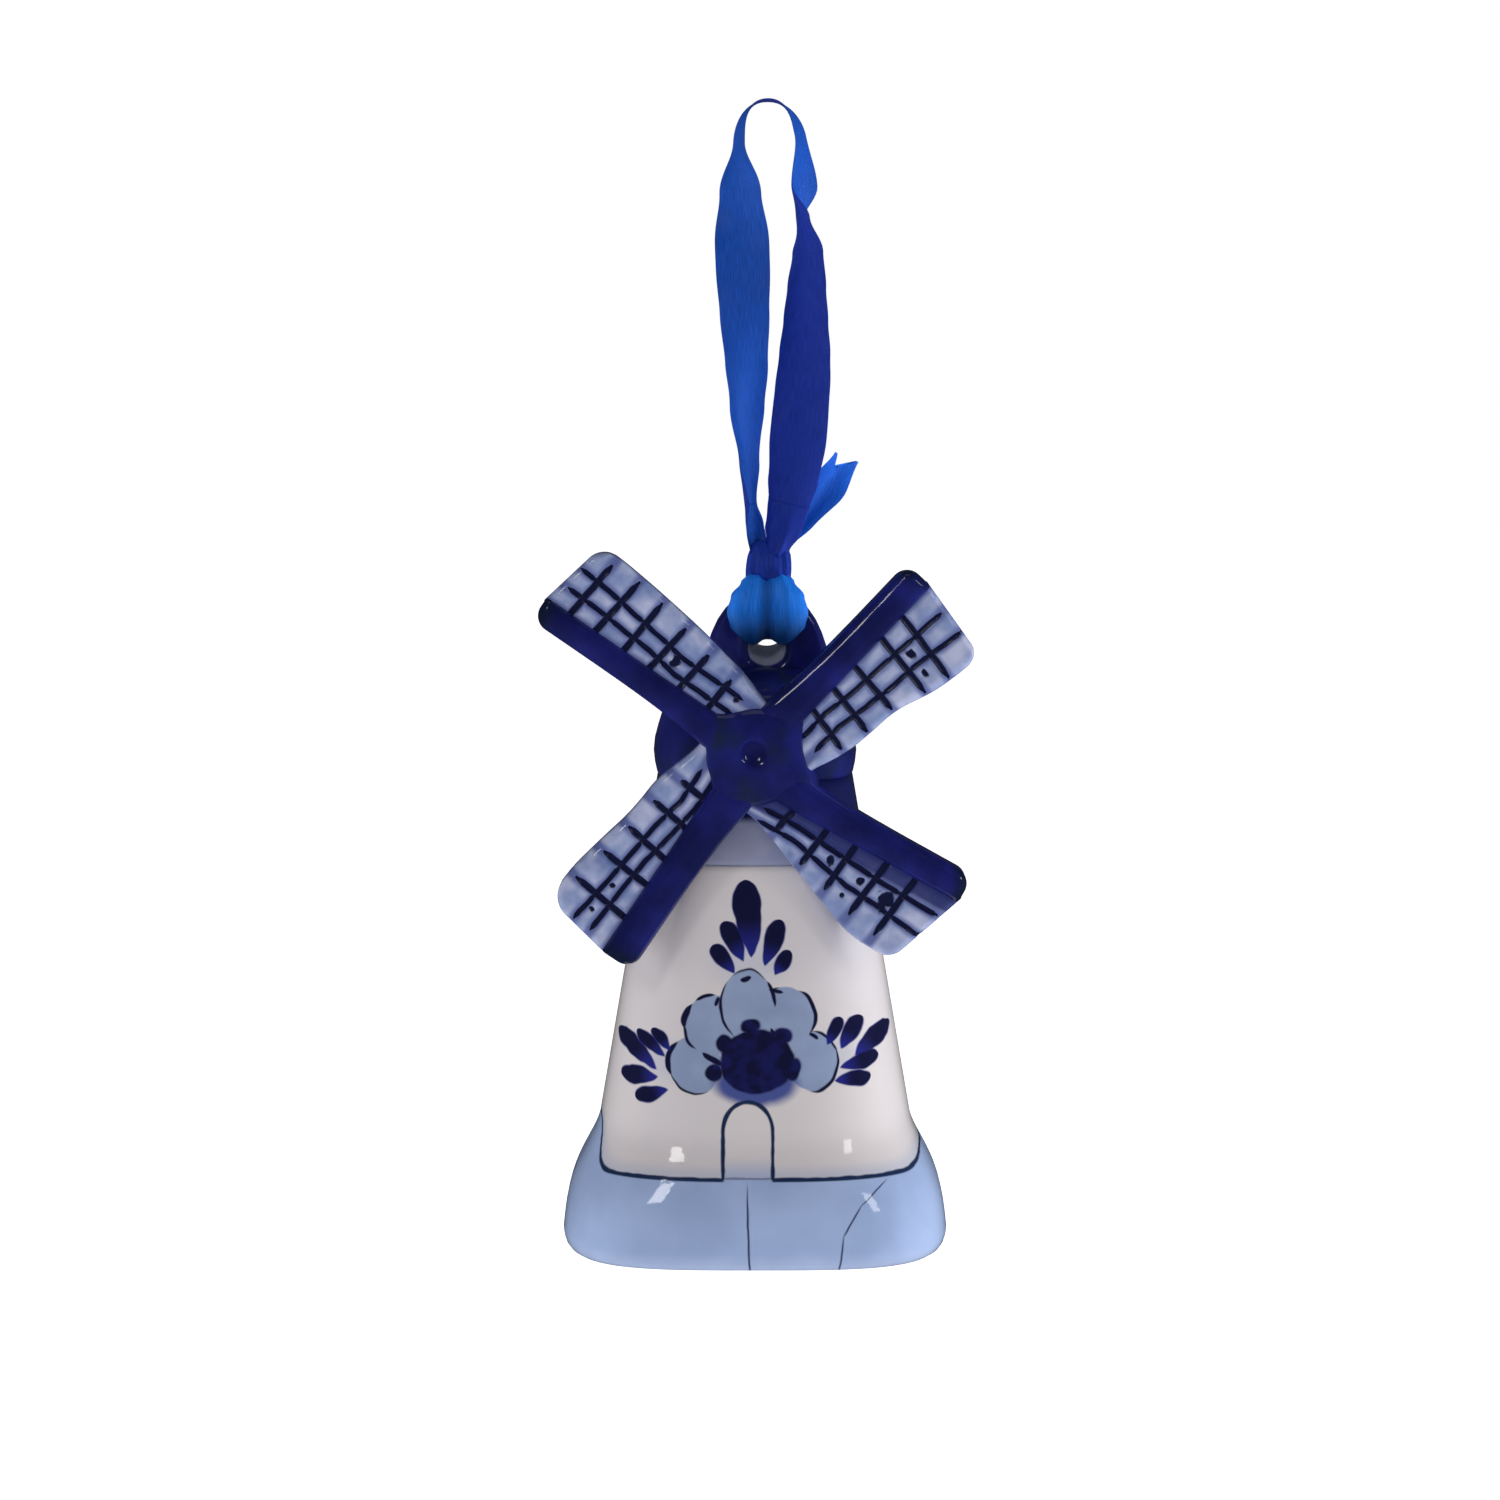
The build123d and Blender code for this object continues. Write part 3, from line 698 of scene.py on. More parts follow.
tower_finish = tower_paint()
tower_rises = [seam_rise + 0.02, seam_rise + 0.6, 12, 13, 14, 15, 16, 17.5, 20, 25, 30, 35, 40, 44, 45.6]
tower_shell = [body_station(seam_rise)] + [body_station(rise) for rise in tower_rises]
tower_shell += [body_station(tower_rise - 0.25, 0.06), body_station(tower_rise, 0.22)]
tower_shell += [body_station(rise, shell_wall) for rise in (tower_rise, 40, 30, 20, 17, 15, 13, seam_rise)]
tower = add_piece("tower", loft(160, tower_shell, body_place, "joined"), "bell", "white_porcelain",
                  tower_finish)
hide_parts("tower_wall")


# ---- Foot --------------------------------------------------------------------------------------------
# The flared foot of the bell, cast in one with the tower, washed in pale blue up to the painted line
# and rounded at the rim. Thin dark strokes cross its front.
def foot_paint():
    finish, tree, shader, spot = glaze("blue_foot")
    x, y, height = measured_spot(tree, spot)
    flat = flat_spot(tree, spot, 0.12)
    colour = foot_wash(tree, spot)
    above = ground_line(tree, x, y, height)
    colour = blend_colours(tree, fade(tree, height, 2.6, 0.2, 0.0, 0.35), colour, (0.42, 0.46, 0.60))
    facing = fade(tree, y, -14.0, -16.0)
    strokes = most(tree, [brush_line(tree, flat, (-0.95, 10.2), (-0.55, -3.0), 0.13),
                          brush_line(tree, flat, (15.4, 10.1), (12.2, 7.4), 0.10),
                          brush_line(tree, flat, (12.5, 7.8), (10.1, 4.0), 0.11),
                          brush_line(tree, flat, (10.3, 4.6), (9.5, -2.0), 0.11)])
    strokes = calc(tree, "MULTIPLY", fade(tree, strokes, -0.08, 0.10), facing)
    colour = blend_colours(tree, strokes, colour, (0.03, 0.045, 0.14))
    beside = calc(tree, "SUBTRACT", calc(tree, "ABSOLUTE", calc(tree, "SUBTRACT", x, door_middle)), door_half)
    keep = calc(tree, "MAXIMUM", fade(tree, beside, -0.3, 0.1), fade(tree, y, -10.0, -8.0))
    line = calc(tree, "SUBTRACT", line_half, calc(tree, "ABSOLUTE", above))
    line = calc(tree, "MULTIPLY", fade(tree, line, -0.10, 0.10), keep)
    colour = blend_colours(tree, line, colour, (0.012, 0.030, 0.095))
    connect(tree, shader.inputs["Base Color"], bare_inside(tree, colour, last_outer=15))
    return finish


rim_round = [(0.0, 1.9), (0.15, 1.2), (0.5, 0.65), (1.0, 0.28), (1.6, 0.08)]
foot_shell = [body_station(rise, inset) for rise, inset in rim_round]
foot_shell += [body_station(rise) for rise in (foot_rise, 3, 4, 5, 6, 7, 8, 9, 9.8, seam_rise - 0.02)]
foot_shell += [body_station(seam_rise)]
foot_shell += [body_station(rise, shell_wall) for rise in (seam_rise, 9, 7, 5, 3, 1.2, 0.4)]
foot_shell += [body_station(0.0, 2.6)]
foot = add_piece("foot", loft(160, foot_shell, body_place, "joined"), "bell", "tinted_porcelain",
                 foot_paint())
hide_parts("plinth")


# ---- Collar ------------------------------------------------------------------------------------------
# The narrow band between the tower and the cap, cast in one with both and washed in thin grey-blue.
def collar_paint():
    finish, tree, shader, spot = glaze("blue_collar")
    height = measured_spot(tree, spot)[2]
    cloud = fade(tree, speckle(tree, spot, 150.0, 2.0), 0.3, 0.7)
    colour = blend_colours(tree, cloud, (0.29, 0.32, 0.49), (0.37, 0.39, 0.55))
    colour = blend_colours(tree, fade(tree, height, 47.5, 46.4, 0.0, 0.5), colour, (0.24, 0.28, 0.44))
    colour = blend_colours(tree, fade(tree, height, 51.2, 52.2), colour, (0.008, 0.012, 0.09))
    connect(tree, shader.inputs["Base Color"], bare_inside(tree, colour, last_outer=6))
    return finish


collar_shell = [body_station(tower_rise, 0.30), body_station(tower_rise + 0.3, 0.05)]
collar_shell += [body_station(rise) for rise in (47.2, 49, 52, 55, collar_rise)]
collar_shell += [body_station(rise, shell_wall) for rise in (collar_rise, 52, 49, tower_rise)]
collar = add_piece("collar", loft(120, collar_shell, body_place, "joined"), "bell", "tinted_porcelain",
                   collar_paint())
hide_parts("cap_collar")


# ---- Cap of the mill ---------------------------------------------------------------------------------
# The dome above the collar, cast in one with the tower, under a dark cobalt glaze that pools
# almost black in its hollows.
def cobalt_glaze(name):
    """Cobalt laid on thickly: nearly black where it pools, brighter where it thins."""
    finish, tree, shader, spot = glaze(name)
    cloud = fade(tree, speckle(tree, spot, 170.0, 3.0), 0.32, 0.72)
    colour = blend_colours(tree, cloud, (0.005, 0.008, 0.085), (0.012, 0.016, 0.19))
    return finish, tree, shader, spot, colour


def cap_paint():
    finish, tree, shader, spot, colour = cobalt_glaze("cobalt_cap")
    pool = fade(tree, speckle(tree, spot, 240.0, 2.0), 0.44, 0.80, 0.0, 0.7)
    colour = blend_colours(tree, pool, colour, (0.010, 0.022, 0.035))
    connect(tree, shader.inputs["Base Color"], colour)
    return finish


cap_finish = cap_paint()
cap_stations = [(60.5, 8.2, 8.2, 2.6), (collar_rise, 8.7, 8.7, 2.6), (collar_rise, 11.4, 11.4, 2.6)]
cap_stations += [(56.5, 11.75, 11.75, 2.6), (57.6, 12.0, 12.0, 2.5), (59.0, 12.15, 12.1, 2.5),
                 (60.5, 12.0, 12.0, 2.5), (62.0, 11.6, 11.4, 2.4), (63.6, 11.1, 10.5, 2.4),
                 (65.2, 10.3, 9.1, 2.3), (66.8, 9.4, 7.2, 2.2), (68.0, 8.4, 5.4, 2.1),
                 (68.7, 7.2, 3.6, 2.0), (69.0, 5.4, 1.8, 2.0)]
cap = add_piece("cap", loft(120, cap_stations, body_place, "filled"), "bell", "cobalt_porcelain", cap_finish)
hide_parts("mill_cap")


# ---- Lug ---------------------------------------------------------------------------------------------
# The upright lug on top of the cap that the ribbon goes through. Its hole was cut in the wet clay,
# with a raised lip round it, and its wall is bare white porcelain.
hole_rise = 71.0
hole_half = 2.1
lug_half_thickness = 2.3
lug_sides = [(58.0, 11.2), (62.0, 10.6), (66.0, 9.3), (69.0, 8.1), (71.5, 7.1), (73.0, 6.6), (74.5, 5.9),
             (75.8, 5.0), (76.6, 4.2), (77.1, 2.6), (77.25, 0.6)]


def slope_between(keys, place):
    for (low, low_value), (high, high_value) in zip(keys, keys[1:]):
        if place <= high:
            return mixed(low_value, high_value, max(0, (place - low) / (high - low)))
    return keys[-1][1]


def lug_reach(turn):
    """How far the lug goes from the hole's centre in one direction."""
    low, high = hole_half, 16.0
    for _ in range(24):
        reach = (low + high) / 2
        rise = hole_rise + reach * math.sin(turn)
        if 64.0 < rise < 77.25 and abs(reach * math.cos(turn)) < slope_between(lug_sides, rise):
            low = reach
        else:
            high = reach
    return low


def lug_place(turn, direction):
    share = 0.5 - 0.5 * math.cos(turn)
    reach = lug_reach(direction)
    radius = hole_half + (reach - hole_half) * share
    rise = hole_rise + radius * math.sin(direction)
    spread = max(0.0, 68.5 - rise)
    thick = lug_half_thickness + 0.33 * spread ** 1.35
    thick *= max(0.0, 1 - abs(2 * share - 1) ** 5) ** 0.2
    thick += 0.28 * math.exp(-((radius - hole_half - 0.85) / 0.45) ** 2)
    deep = thick * math.copysign(1, math.sin(turn)) if share not in (0, 1) else 0
    tilt = 0.62 * (deep + lug_half_thickness) * math.exp(-((radius - hole_half) / 1.2) ** 2)
    return Vector((radius * math.cos(direction) * mm, deep * mm, level(rise + tilt)))


def lug_paint():
    finish, tree, shader, spot, colour = cobalt_glaze("cobalt_lug")
    x, y, height = measured_spot(tree, spot)
    away = tree.nodes.new("ShaderNodeCombineXYZ")
    connect(tree, away.inputs[0], calc(tree, "SUBTRACT", x, -axis_x / mm))
    connect(tree, away.inputs[1], calc(tree, "SUBTRACT", height, hole_rise + 0.3))
    radius = tree.nodes.new("ShaderNodeVectorMath")
    radius.operation = "LENGTH"
    connect(tree, radius.inputs[0], away.outputs[0])
    inside = fade(tree, y, -1.9, -1.6)
    bare = calc(tree, "MULTIPLY", fade(tree, radius.outputs["Value"], 3.6, 3.3), inside)
    # The bare wall is white at the back and painted grey-blue towards the front: painted shade inside the
    # hole.
    bare_white_and_shade = blend_colours(tree, fade(tree, y, -1.8, 1.8), (0.34, 0.40, 0.54), (0.86, 0.88, 0.88))
    colour = blend_colours(tree, bare, colour, bare_white_and_shade)
    pool = fade(tree, height, 69.2, 67.2, 0.0, 0.7)
    colour = blend_colours(tree, pool, colour, (0.012, 0.030, 0.050))
    connect(tree, shader.inputs["Base Color"], colour)
    return finish


directions = [math.tau * step / 120 for step in range(120)]
lug = add_piece("lug", loft(48, directions, lug_place, "joined"), "bell", "cobalt_porcelain", lug_paint())
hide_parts("hanging_lug")


# ---- Hub ---------------------------------------------------------------------------------------------
# The round boss where the four sails cross, pressed with the sails in one mould and stuck to the cap
# with slip. It has a dimple at its centre.
hub_rise = 59.5
hub_profile = [(7.4, 9.4), (7.2, 12.2), (7.0, 14.6), (6.8, 15.6), (6.4, 16.3), (5.8, 16.8), (5.0, 17.1),
               (4.0, 17.3), (2.9, 17.35), (2.3, 17.45), (1.9, 17.4), (1.55, 17.1), (1.1, 16.7), (0.3, 16.6)]
arm_directions = [144.2, 46.6, 330.9, 235.5]
hub_centre = Vector((axis_x, 0, level(hub_rise)))


def hub_place(turn, station):
    radius, deep = station
    toward = [math.remainder(turn - math.radians(arm), math.tau) for arm in arm_directions]
    pull = sum(math.exp(-(angle / 0.30) ** 2) for angle in toward)
    across = radius * (0.86 + 0.30 * pull * smooth_between([(0, 0), (3, 0), (7, 1)], radius)) * mm
    shift = max(0.0, 1 - radius / 4) * mm
    return hub_centre + Vector((across * math.cos(turn) - 0.3 * shift, -deep * mm,
                                across * math.sin(turn) + shift))


hub = add_piece("hub", loft(72, hub_profile, hub_place, "filled"), "bell", "cobalt_porcelain", cap_finish)
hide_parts("hub_boss")


# ---- Sails -------------------------------------------------------------------------------------------
# Four sails pressed in one mould with the hub: a raised spar under thick cobalt glaze and, beside it,
# a panel with a lattice cut in it, washed in pale blue and lined in navy.
sail_back = 12.2
sail_face = 16.0
spar_crest = 16.95
hub_hold = 3.0
sails = {
    "upper_left": dict(
        direction=145.5, length=30.4, slant=1.9, sides=(-1.6, 1.5), corner=2.0,
        edge=[(0, 5.6), (4.6, 7.1), (14.2, 8.6), (23.5, 9.6), (30, 10.1)],
        rungs=[(26.3, 27.1, 8.8), (22.6, 23.6, 8.9), (19.0, 19.6, 8.4), (15.1, 16.0, 7.6), (11.2, 11.8, 6.6),
               (7.4, 7.8, 5.7)],
        rails=[(6.8, 6.3, 5.8, 5.3, 4.7), (4.0, 3.8, 3.5, 3.3, 2.6)],
        spots=[(5.6, 4.3, 0.35), (13.9, 4.0, 0.6)]),
    "upper_right": dict(
        direction=46.6, length=28.4, slant=1.9, sides=(-2.6, 1.0), corner=1.6,
        edge=[(0, 5.4), (3.3, 6.4), (6.5, 7.4), (10, 7.8), (16.6, 8.2), (21, 9.8), (28, 10.8)],
        rungs=[(22.2, 23.6, 9.7), (19.1, 20.1, 8.9), (15.0, 15.6, 7.5), (11.1, 12.1, 7.2), (7.6, 8.6, 6.5)],
        rails=[(7.2, 6.2, 5.9, 5.3, 4.6), (4.1, 3.6, 3.3, 3.0, 2.4)],
        spots=[(21.1, 4.8, 0.5), (20.6, 7.6, 0.4)]),
    "lower_right": dict(
        direction=330.9, length=29.0, slant=3.6, sides=(-0.1, 3.2), corner=1.6,
        edge=[(0, 6.0), (3.5, 6.9), (8, 8.4), (11.6, 9.6), (17, 11.2), (23, 12.9), (29, 13.2)],
        rungs=[(22.3, 23.3, 11.2), (18.5, 19.5, 10.5), (14.6, 15.3, 9.4), (10.7, 11.5, 8.3), (6.3, 6.9, 6.2)],
        rails=[(9.0, 8.3, 8.0, 7.2, 6.3), (5.9, 5.7, 5.4, 5.1, 4.7)],
        spots=[(13.6, 6.3, 0.5), (17.8, 6.7, 0.5), (21.5, 7.2, 1.0), (16.7, 9.2, 0.3)]),
    "lower_left": dict(
        direction=236.0, length=28.9, slant=1.6, sides=(-2.1, 2.0), corner=2.4,
        edge=[(0, 5.9), (4.2, 6.8), (7.3, 7.9), (14.4, 8.3), (19, 9.2), (27, 10.5)],
        rungs=[(23.3, 24.1, 9.2), (19.0, 19.5, 8.3), (15.0, 15.8, 7.5), (10.8, 11.4, 6.8), (7.1, 7.4, 5.5)],
        rails=[(7.0, 6.1, 5.6, 5.1, 4.3), (4.6, 4.2, 3.8, 3.0, 2.4)],
        spots=[(25.4, 5.8, 0.3), (21.8, 5.4, 0.3)]),
}


def sail_spot(sail, along, across, deep):
    """A point of a sail: along its arm, across towards its panel, and forward from the axis."""
    turn = math.radians(sail["direction"])
    east = along * math.cos(turn) + across * math.sin(turn)
    up = along * math.sin(turn) - across * math.cos(turn)
    return hub_centre + Vector((east, -deep, up)) * mm


def rounded(distance, radius):
    """How far an edge of this radius has dropped, this far in from its outline."""
    inside = max(0.0, radius - max(0.0, distance))
    return radius - math.sqrt(max(0.0, radius * radius - inside * inside))


def sail_edge(sail, place):
    """The panel's far side, with its corners smoothed out."""
    return sum(slope_between(sail["edge"], place + step) for step in (-2.4, -1.2, 0, 1.2, 2.4)) / 5


def relief(sail, columns, rows, surface, back):
    """A moulded relief: a grid pressed into shape, with side walls and a flat back. surface(s, t)
    gives along, across, forward, ink and pale for the shares s along and t across."""
    shape = bmesh.new()
    bmesh.ops.create_grid(shape, x_segments=columns, y_segments=rows, size=1)
    ink = shape.verts.layers.float.new("ink")
    pale = shape.verts.layers.float.new("pale")
    along = shape.verts.layers.float.new("arm_along")
    across = shape.verts.layers.float.new("arm_across")
    for vert in shape.verts:
        place = surface((vert.co.x + 1) / 2, (vert.co.y + 1) / 2)
        vert[along], vert[across], deep, vert[ink], vert[pale] = place
        vert.co = sail_spot(sail, vert[along], vert[across], deep)
    edges = [edge for edge in shape.edges if edge.is_boundary]
    for deep in (back + 1.4, back):
        grown = bmesh.ops.extrude_edge_only(shape, edges=edges)["geom"]
        verts = {part for part in grown if isinstance(part, bmesh.types.BMVert)}
        edges = [part for part in grown if isinstance(part, bmesh.types.BMEdge)
                 and part.verts[0] in verts and part.verts[1] in verts]
        for vert in verts:
            vert[ink], vert[pale] = 0, 0.6
            vert.co = sail_spot(sail, vert[along], vert[across], deep)
    bmesh.ops.edgeloop_fill(shape, edges=edges)
    bmesh.ops.recalc_face_normals(shape, faces=shape.faces)
    return shape


def line_ink(distance, half_width):
    """1 in the middle of a cut line and 0 beside it."""
    share = max(0.0, min(1.0, 1 - (abs(distance) - half_width * 0.55) / (half_width * 0.7)))
    return share * share * (3 - 2 * share)


def lattice_marks(sail, along, across):
    """How much ink lies on a spot of the panel, and how pale its cell is."""
    inner = sail["sides"][1]
    wander = 0.07 * noise.noise(Vector((along * 0.7, across * 0.7, sail["direction"])))
    ink = 0.0
    cell = 9.0
    for outer_end, inner_end, stop in sail["rungs"]:
        share = (across - inner) / (stop - inner)
        centre = mixed(inner_end, outer_end, share) + wander
        thick = 0.40 * (1.0 if share < 0.9 else max(0.3, 1 - (share - 0.9) * 5))
        if share < 1.04:
            ink = max(ink, line_ink(along - centre, thick))
        cell = min(cell, abs(along - centre))
    steps = [outer_end for outer_end, _, _ in sail["rungs"]]
    for rail in sail["rails"]:
        spots = [(steps[0] + 4.0, rail[0])]
        spots += [((before + after) / 2, value)
                  for before, after, value in zip(steps, steps[1:], rail[1:] + rail[-1:])]
        spots.sort()
        centre = slope_between(spots, along) + wander
        nearest = min(abs(along - step - 0.4) for step in steps)
        start = steps[-1] - 2.6
        thick = 0.31 if nearest > 0.5 else 0.22
        fade_in = min(1.0, max(0.0, (along - start) / 0.8))
        fade_out = min(1.0, max(0.0, (sail["length"] - 1.2 - along) / 0.8))
        thick *= fade_in * fade_out
        if thick > 0.02:
            ink = max(ink, line_ink(across - centre, thick))
        cell = min(cell, abs(across - centre))
    for spot_along, spot_across, size in sail["spots"]:
        reach = math.hypot(along - spot_along, 0.8 * (across - spot_across))
        reach *= 1 + 0.5 * noise.noise(Vector((along * 1.7, across * 1.7, 9.0)))
        ink = max(ink, 0.85 * line_ink(reach, size))
    cell = min(cell, across - inner + 0.15)
    return ink, max(0.0, min(1.0, cell / 1.1))


def panel_surface(sail):
    inner = sail["sides"][1]
    tip = slope_between(sail["edge"], sail["length"])

    def surface(s, t):
        rough = s * sail["length"]
        outer = sail_edge(sail, rough)
        across = mixed(inner - 0.4, outer, t)
        end = sail["length"] - sail["slant"] * (across - inner) / (tip - inner)
        into_corner = max(0.0, across - (outer - sail["corner"]))
        end -= rounded(sail["corner"] - into_corner, sail["corner"])
        along = 2.0 + s * (end - 2.0)
        ink, cell = lattice_marks(sail, along, across)
        drop = max(rounded(outer - across, 0.9), rounded(end - along, 0.9))
        deep = sail_face - drop - 0.34 * ink + 0.10 * cell
        deep += 0.06 * noise.noise(Vector((along * 0.35, across * 0.35, sail["direction"])))
        return along, across, deep, ink, cell

    return surface


def spar_surface(sail):
    inner, outer = sail["sides"]

    def surface(s, t):
        root = 1.0 - s
        left = inner - 1.3 * root ** 4
        right = outer + 0.25
        middle, half = (left + right) / 2, (right - left) / 2
        side = 2 * t - 1
        across = middle + half * math.copysign(1 - (1 - abs(side)) ** 1.5, side)
        end = sail["length"] - rounded(across - left, 2.0) - rounded(right - across, 0.5)
        along = hub_hold + s * (end - hub_hold)
        drop = max(rounded((half - abs(across - middle)) * 0.9, 1.45), rounded(end - along, 1.3))
        crest = spar_crest + 0.15 * math.exp(-(s / 0.25) ** 2) - 0.6 * math.exp(-(s / 0.07) ** 2)
        crest += 0.07 * noise.noise(Vector((along * 0.3, across * 0.5, 3.0 + sail["direction"])))
        return along, across, crest - drop, 0.0, s

    return surface


def lattice_paint(name, shaded):
    finish, tree, shader, spot = glaze(name)
    cell = attribute(tree, "pale")
    across = attribute(tree, "arm_across")
    cloud = fade(tree, speckle(tree, spot, 300.0, 3.0), 0.30, 0.72)
    pale = blend_colours(tree, cloud, (0.24, 0.32, 0.60), (0.55, 0.60, 0.84))
    colour = blend_colours(tree, fade(tree, cell, 0.25, 0.95), (0.13, 0.17, 0.42), pale)
    stain = fade(tree, speckle(tree, spot, 130.0, 3.0), 0.60, 0.74, 0.0, 0.75)
    colour = blend_colours(tree, stain, colour, (0.07, 0.13, 0.38))
    # Painted shade: the lower right panel goes dark cobalt beside its spar.
    if shaded:
        spar_shade = fade(tree, across, 5.6, 4.8, 0.0, 0.92)
        colour = blend_colours(tree, spar_shade, colour, (0.020, 0.028, 0.17))
    ink = attribute(tree, "ink")
    colour = blend_colours(tree, fade(tree, ink, 0.12, 0.62), colour, (0.007, 0.010, 0.052))
    connect(tree, shader.inputs["Base Color"], colour)
    return finish


def spar_paint():
    finish, tree, shader, spot, colour = cobalt_glaze("cobalt_spar")
    reach = attribute(tree, "pale")
    grain = speckle(tree, spot, 200.0, 2.0)
    tip = fade(tree, calc(tree, "ADD", reach, calc(tree, "MULTIPLY", grain, 0.12)), 0.97, 1.08)
    colour = blend_colours(tree, tip, colour, (0.004, 0.009, 0.024))
    connect(tree, shader.inputs["Base Color"], colour)
    return finish


spar_finish = spar_paint()
lattice_finish = lattice_paint("washed_lattice", False)
shaded_finish = lattice_paint("shaded_lattice", True)
for name, sail in sails.items():
    spar = add_piece("spar." + name, relief(sail, 70, 30, spar_surface(sail), sail_back),
                     "bell", "cobalt_porcelain", spar_finish)
    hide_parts("spar_" + name)
    panel_finish = shaded_finish if name == "lower_right" else lattice_finish
    panel = add_piece("lattice." + name, relief(sail, 180, 76, panel_surface(sail), sail_back),
                      "bell", "tinted_porcelain", panel_finish)
    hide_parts("lattice_" + name)


# ---- Ribbon: gathered neck and loose end -------------------------------------------------------------
# Below the loop both strands are gathered in pleats and run into the knot. The loose end comes out
# behind them to the right, with a notched tip.
# A darker copy of the same satin for the knot: painted shade.
shaded_knot_finish = satin("satin_knot_painted_shade", (0.009, 0.040, 0.38), (0.009, 0.034, 0.34))


def hitch_shadow(tree):
    """The lobes go dark towards the hole and in the crease between them."""
    x, _, height = measured_spot(tree, tree.nodes.new("ShaderNodeTexCoord").outputs["Object"])
    aside = calc(tree, "ABSOLUTE", calc(tree, "SUBTRACT", x, -axis_x / mm))
    low = fade(tree, height, 72.0, 76.6, 0.18, 1.0)
    return calc(tree, "MULTIPLY", low, fade(tree, aside, 0.0, 1.3, 0.6, 1.0))


# A lighter copy of the same satin for the loose end: painted light.
lit_tail_finish = satin("satin_tail_painted_light", (0.012, 0.17, 0.92), (0.010, 0.13, 0.76))
# The lightest copy of the satin, for the lobes over the lug: painted light, darkened by hitch_shadow's
# painted shade.
lit_hitch_finish = satin("satin_hitch_painted_light", (0.016, 0.24, 1.0), (0.014, 0.20, 0.95), hitch_shadow)
knot_low, knot_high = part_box("ribbon_knot")
knot_z = (knot_low.z + knot_high.z) / 2


def pleats(count, depth, shift, grow=lambda share: 1.0):
    return lambda share, across: (depth * mm * grow(share) * math.sin(count * across + shift)
                                  * (1 - 0.5 * across * across))


def neck_strand(name, route, slants, halves, cup, ripple):
    """One strand of the loop carried on into the knot, with its width and turn taken over."""
    line = smooth_line(name + "_route", route, 12)
    strip = ribbon_strip(line, lambda share: smooth_between(slants, share),
                         lambda share: smooth_between(halves, share) * mm,
                         lambda share: cup * mm, folds=ripple)
    return add_piece(name, strip, "neck", "satin_ribbon", ribbon_finish)


left_foot, right_foot = hung_line[0], hung_line[-1]
left_gather = neck_strand(
    "neck_left", [(-0.9 * mm, -0.6 * mm, knot_z + 0.9 * mm),
                  left_foot + Vector((0.3, -0.15, -3.0)) * mm, left_foot + Vector((-0.02, 0.01, 0.2)) * mm],
    [(0, 105), (0.6, 140), (1, 165)], [(0, 1.0), (0.5, 1.5), (1, 1.7)], -0.9,
    pleats(6, 0.14, 0.5, lambda share: 1 - share))
right_gather = neck_strand(
    "neck_right", [right_foot + Vector((0.03, -0.01, 0.2)) * mm, right_foot + Vector((-0.5, 0.1, -3.0)) * mm,
                   (0.9 * mm, -0.5 * mm, knot_z + 0.9 * mm)],
    [(0, -90), (1, -96)], [(0, 2.5), (0.5, 2.2), (0.8, 1.5), (1, 1.2)], -0.8,
    pleats(7, 0.18, 0.0, lambda share: share))
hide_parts("ribbon_neck")

tail_route = [(1.4 * mm, 1.3 * mm, knot_z + 2.0 * mm), (3.4 * mm, 1.9 * mm, knot_z + 4.0 * mm),
              (6.4 * mm, 2.2 * mm, knot_z + 7.4 * mm), (9.6 * mm, 1.6 * mm, knot_z + 12.6 * mm)]
tail_line = smooth_line("tail_route", tail_route, 24)
tail = add_piece("ribbon_end", ribbon_strip(
    tail_line, lambda share: smooth_between([(0, -80), (0.6, -70), (1, -35)], share),
    lambda share: smooth_between([(0, 0.9), (0.35, 1.5), (0.75, 2.5), (1, 2.7)], share) * mm,
    lambda share: smooth_between([(0, 0.4), (1, 0.8)], share) * mm,
    folds=pleats(5, 0.12, 1.0),
    trim=lambda share, across: -2.0 * mm * share ** 10 * max(0, 1 - abs(across - 0.1) * 1.3)),
    "neck", "satin_ribbon", lit_tail_finish)
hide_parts("ribbon_tail")


# ---- Ribbon: knot --------------------------------------------------------------------------------------
# The same satin tied in a small tight knot above the lug, pulled into folds that run down into the
# hitch. The bell swings on it.
def knot_place(turn, station):
    drop, half_x, half_y = station
    fold = 1 + 0.05 * math.sin(9 * turn + 0.5 * drop) + 0.03 * math.sin(17 * turn - 0.4 * drop)
    lean = 0.22 * drop
    return Vector(((half_x * fold * math.cos(turn) + 0.25) * mm, half_y * fold * math.sin(turn) * mm,
                   knot_z + (drop + 0.25 * math.sin(turn * 2 + lean)) * mm))


knot_stations = [(2.6, 0.8, 0.4), (2.3, 1.7, 0.8), (1.7, 2.2, 1.1), (0.9, 2.45, 1.5), (0.0, 2.55, 1.9),
                 (-0.8, 2.6, 2.1), (-1.6, 2.6, 2.1), (-2.2, 2.4, 1.8), (-2.6, 1.9, 1.3), (-2.8, 0.8, 0.5)]
knot = add_piece("knot", loft(128, knot_stations, knot_place, "filled"), "knot", "satin_ribbon",
                 shaded_knot_finish)
knot_weave = knot.data.uv_layers.new(name="weave")
for corner in knot.data.loops:
    spot = knot.data.vertices[corner.vertex_index].co
    knot_weave.data[corner.index].uv = (math.atan2(spot.y, spot.x) * 2.4, (spot.z - knot_z) / mm)
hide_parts("ribbon_knot")


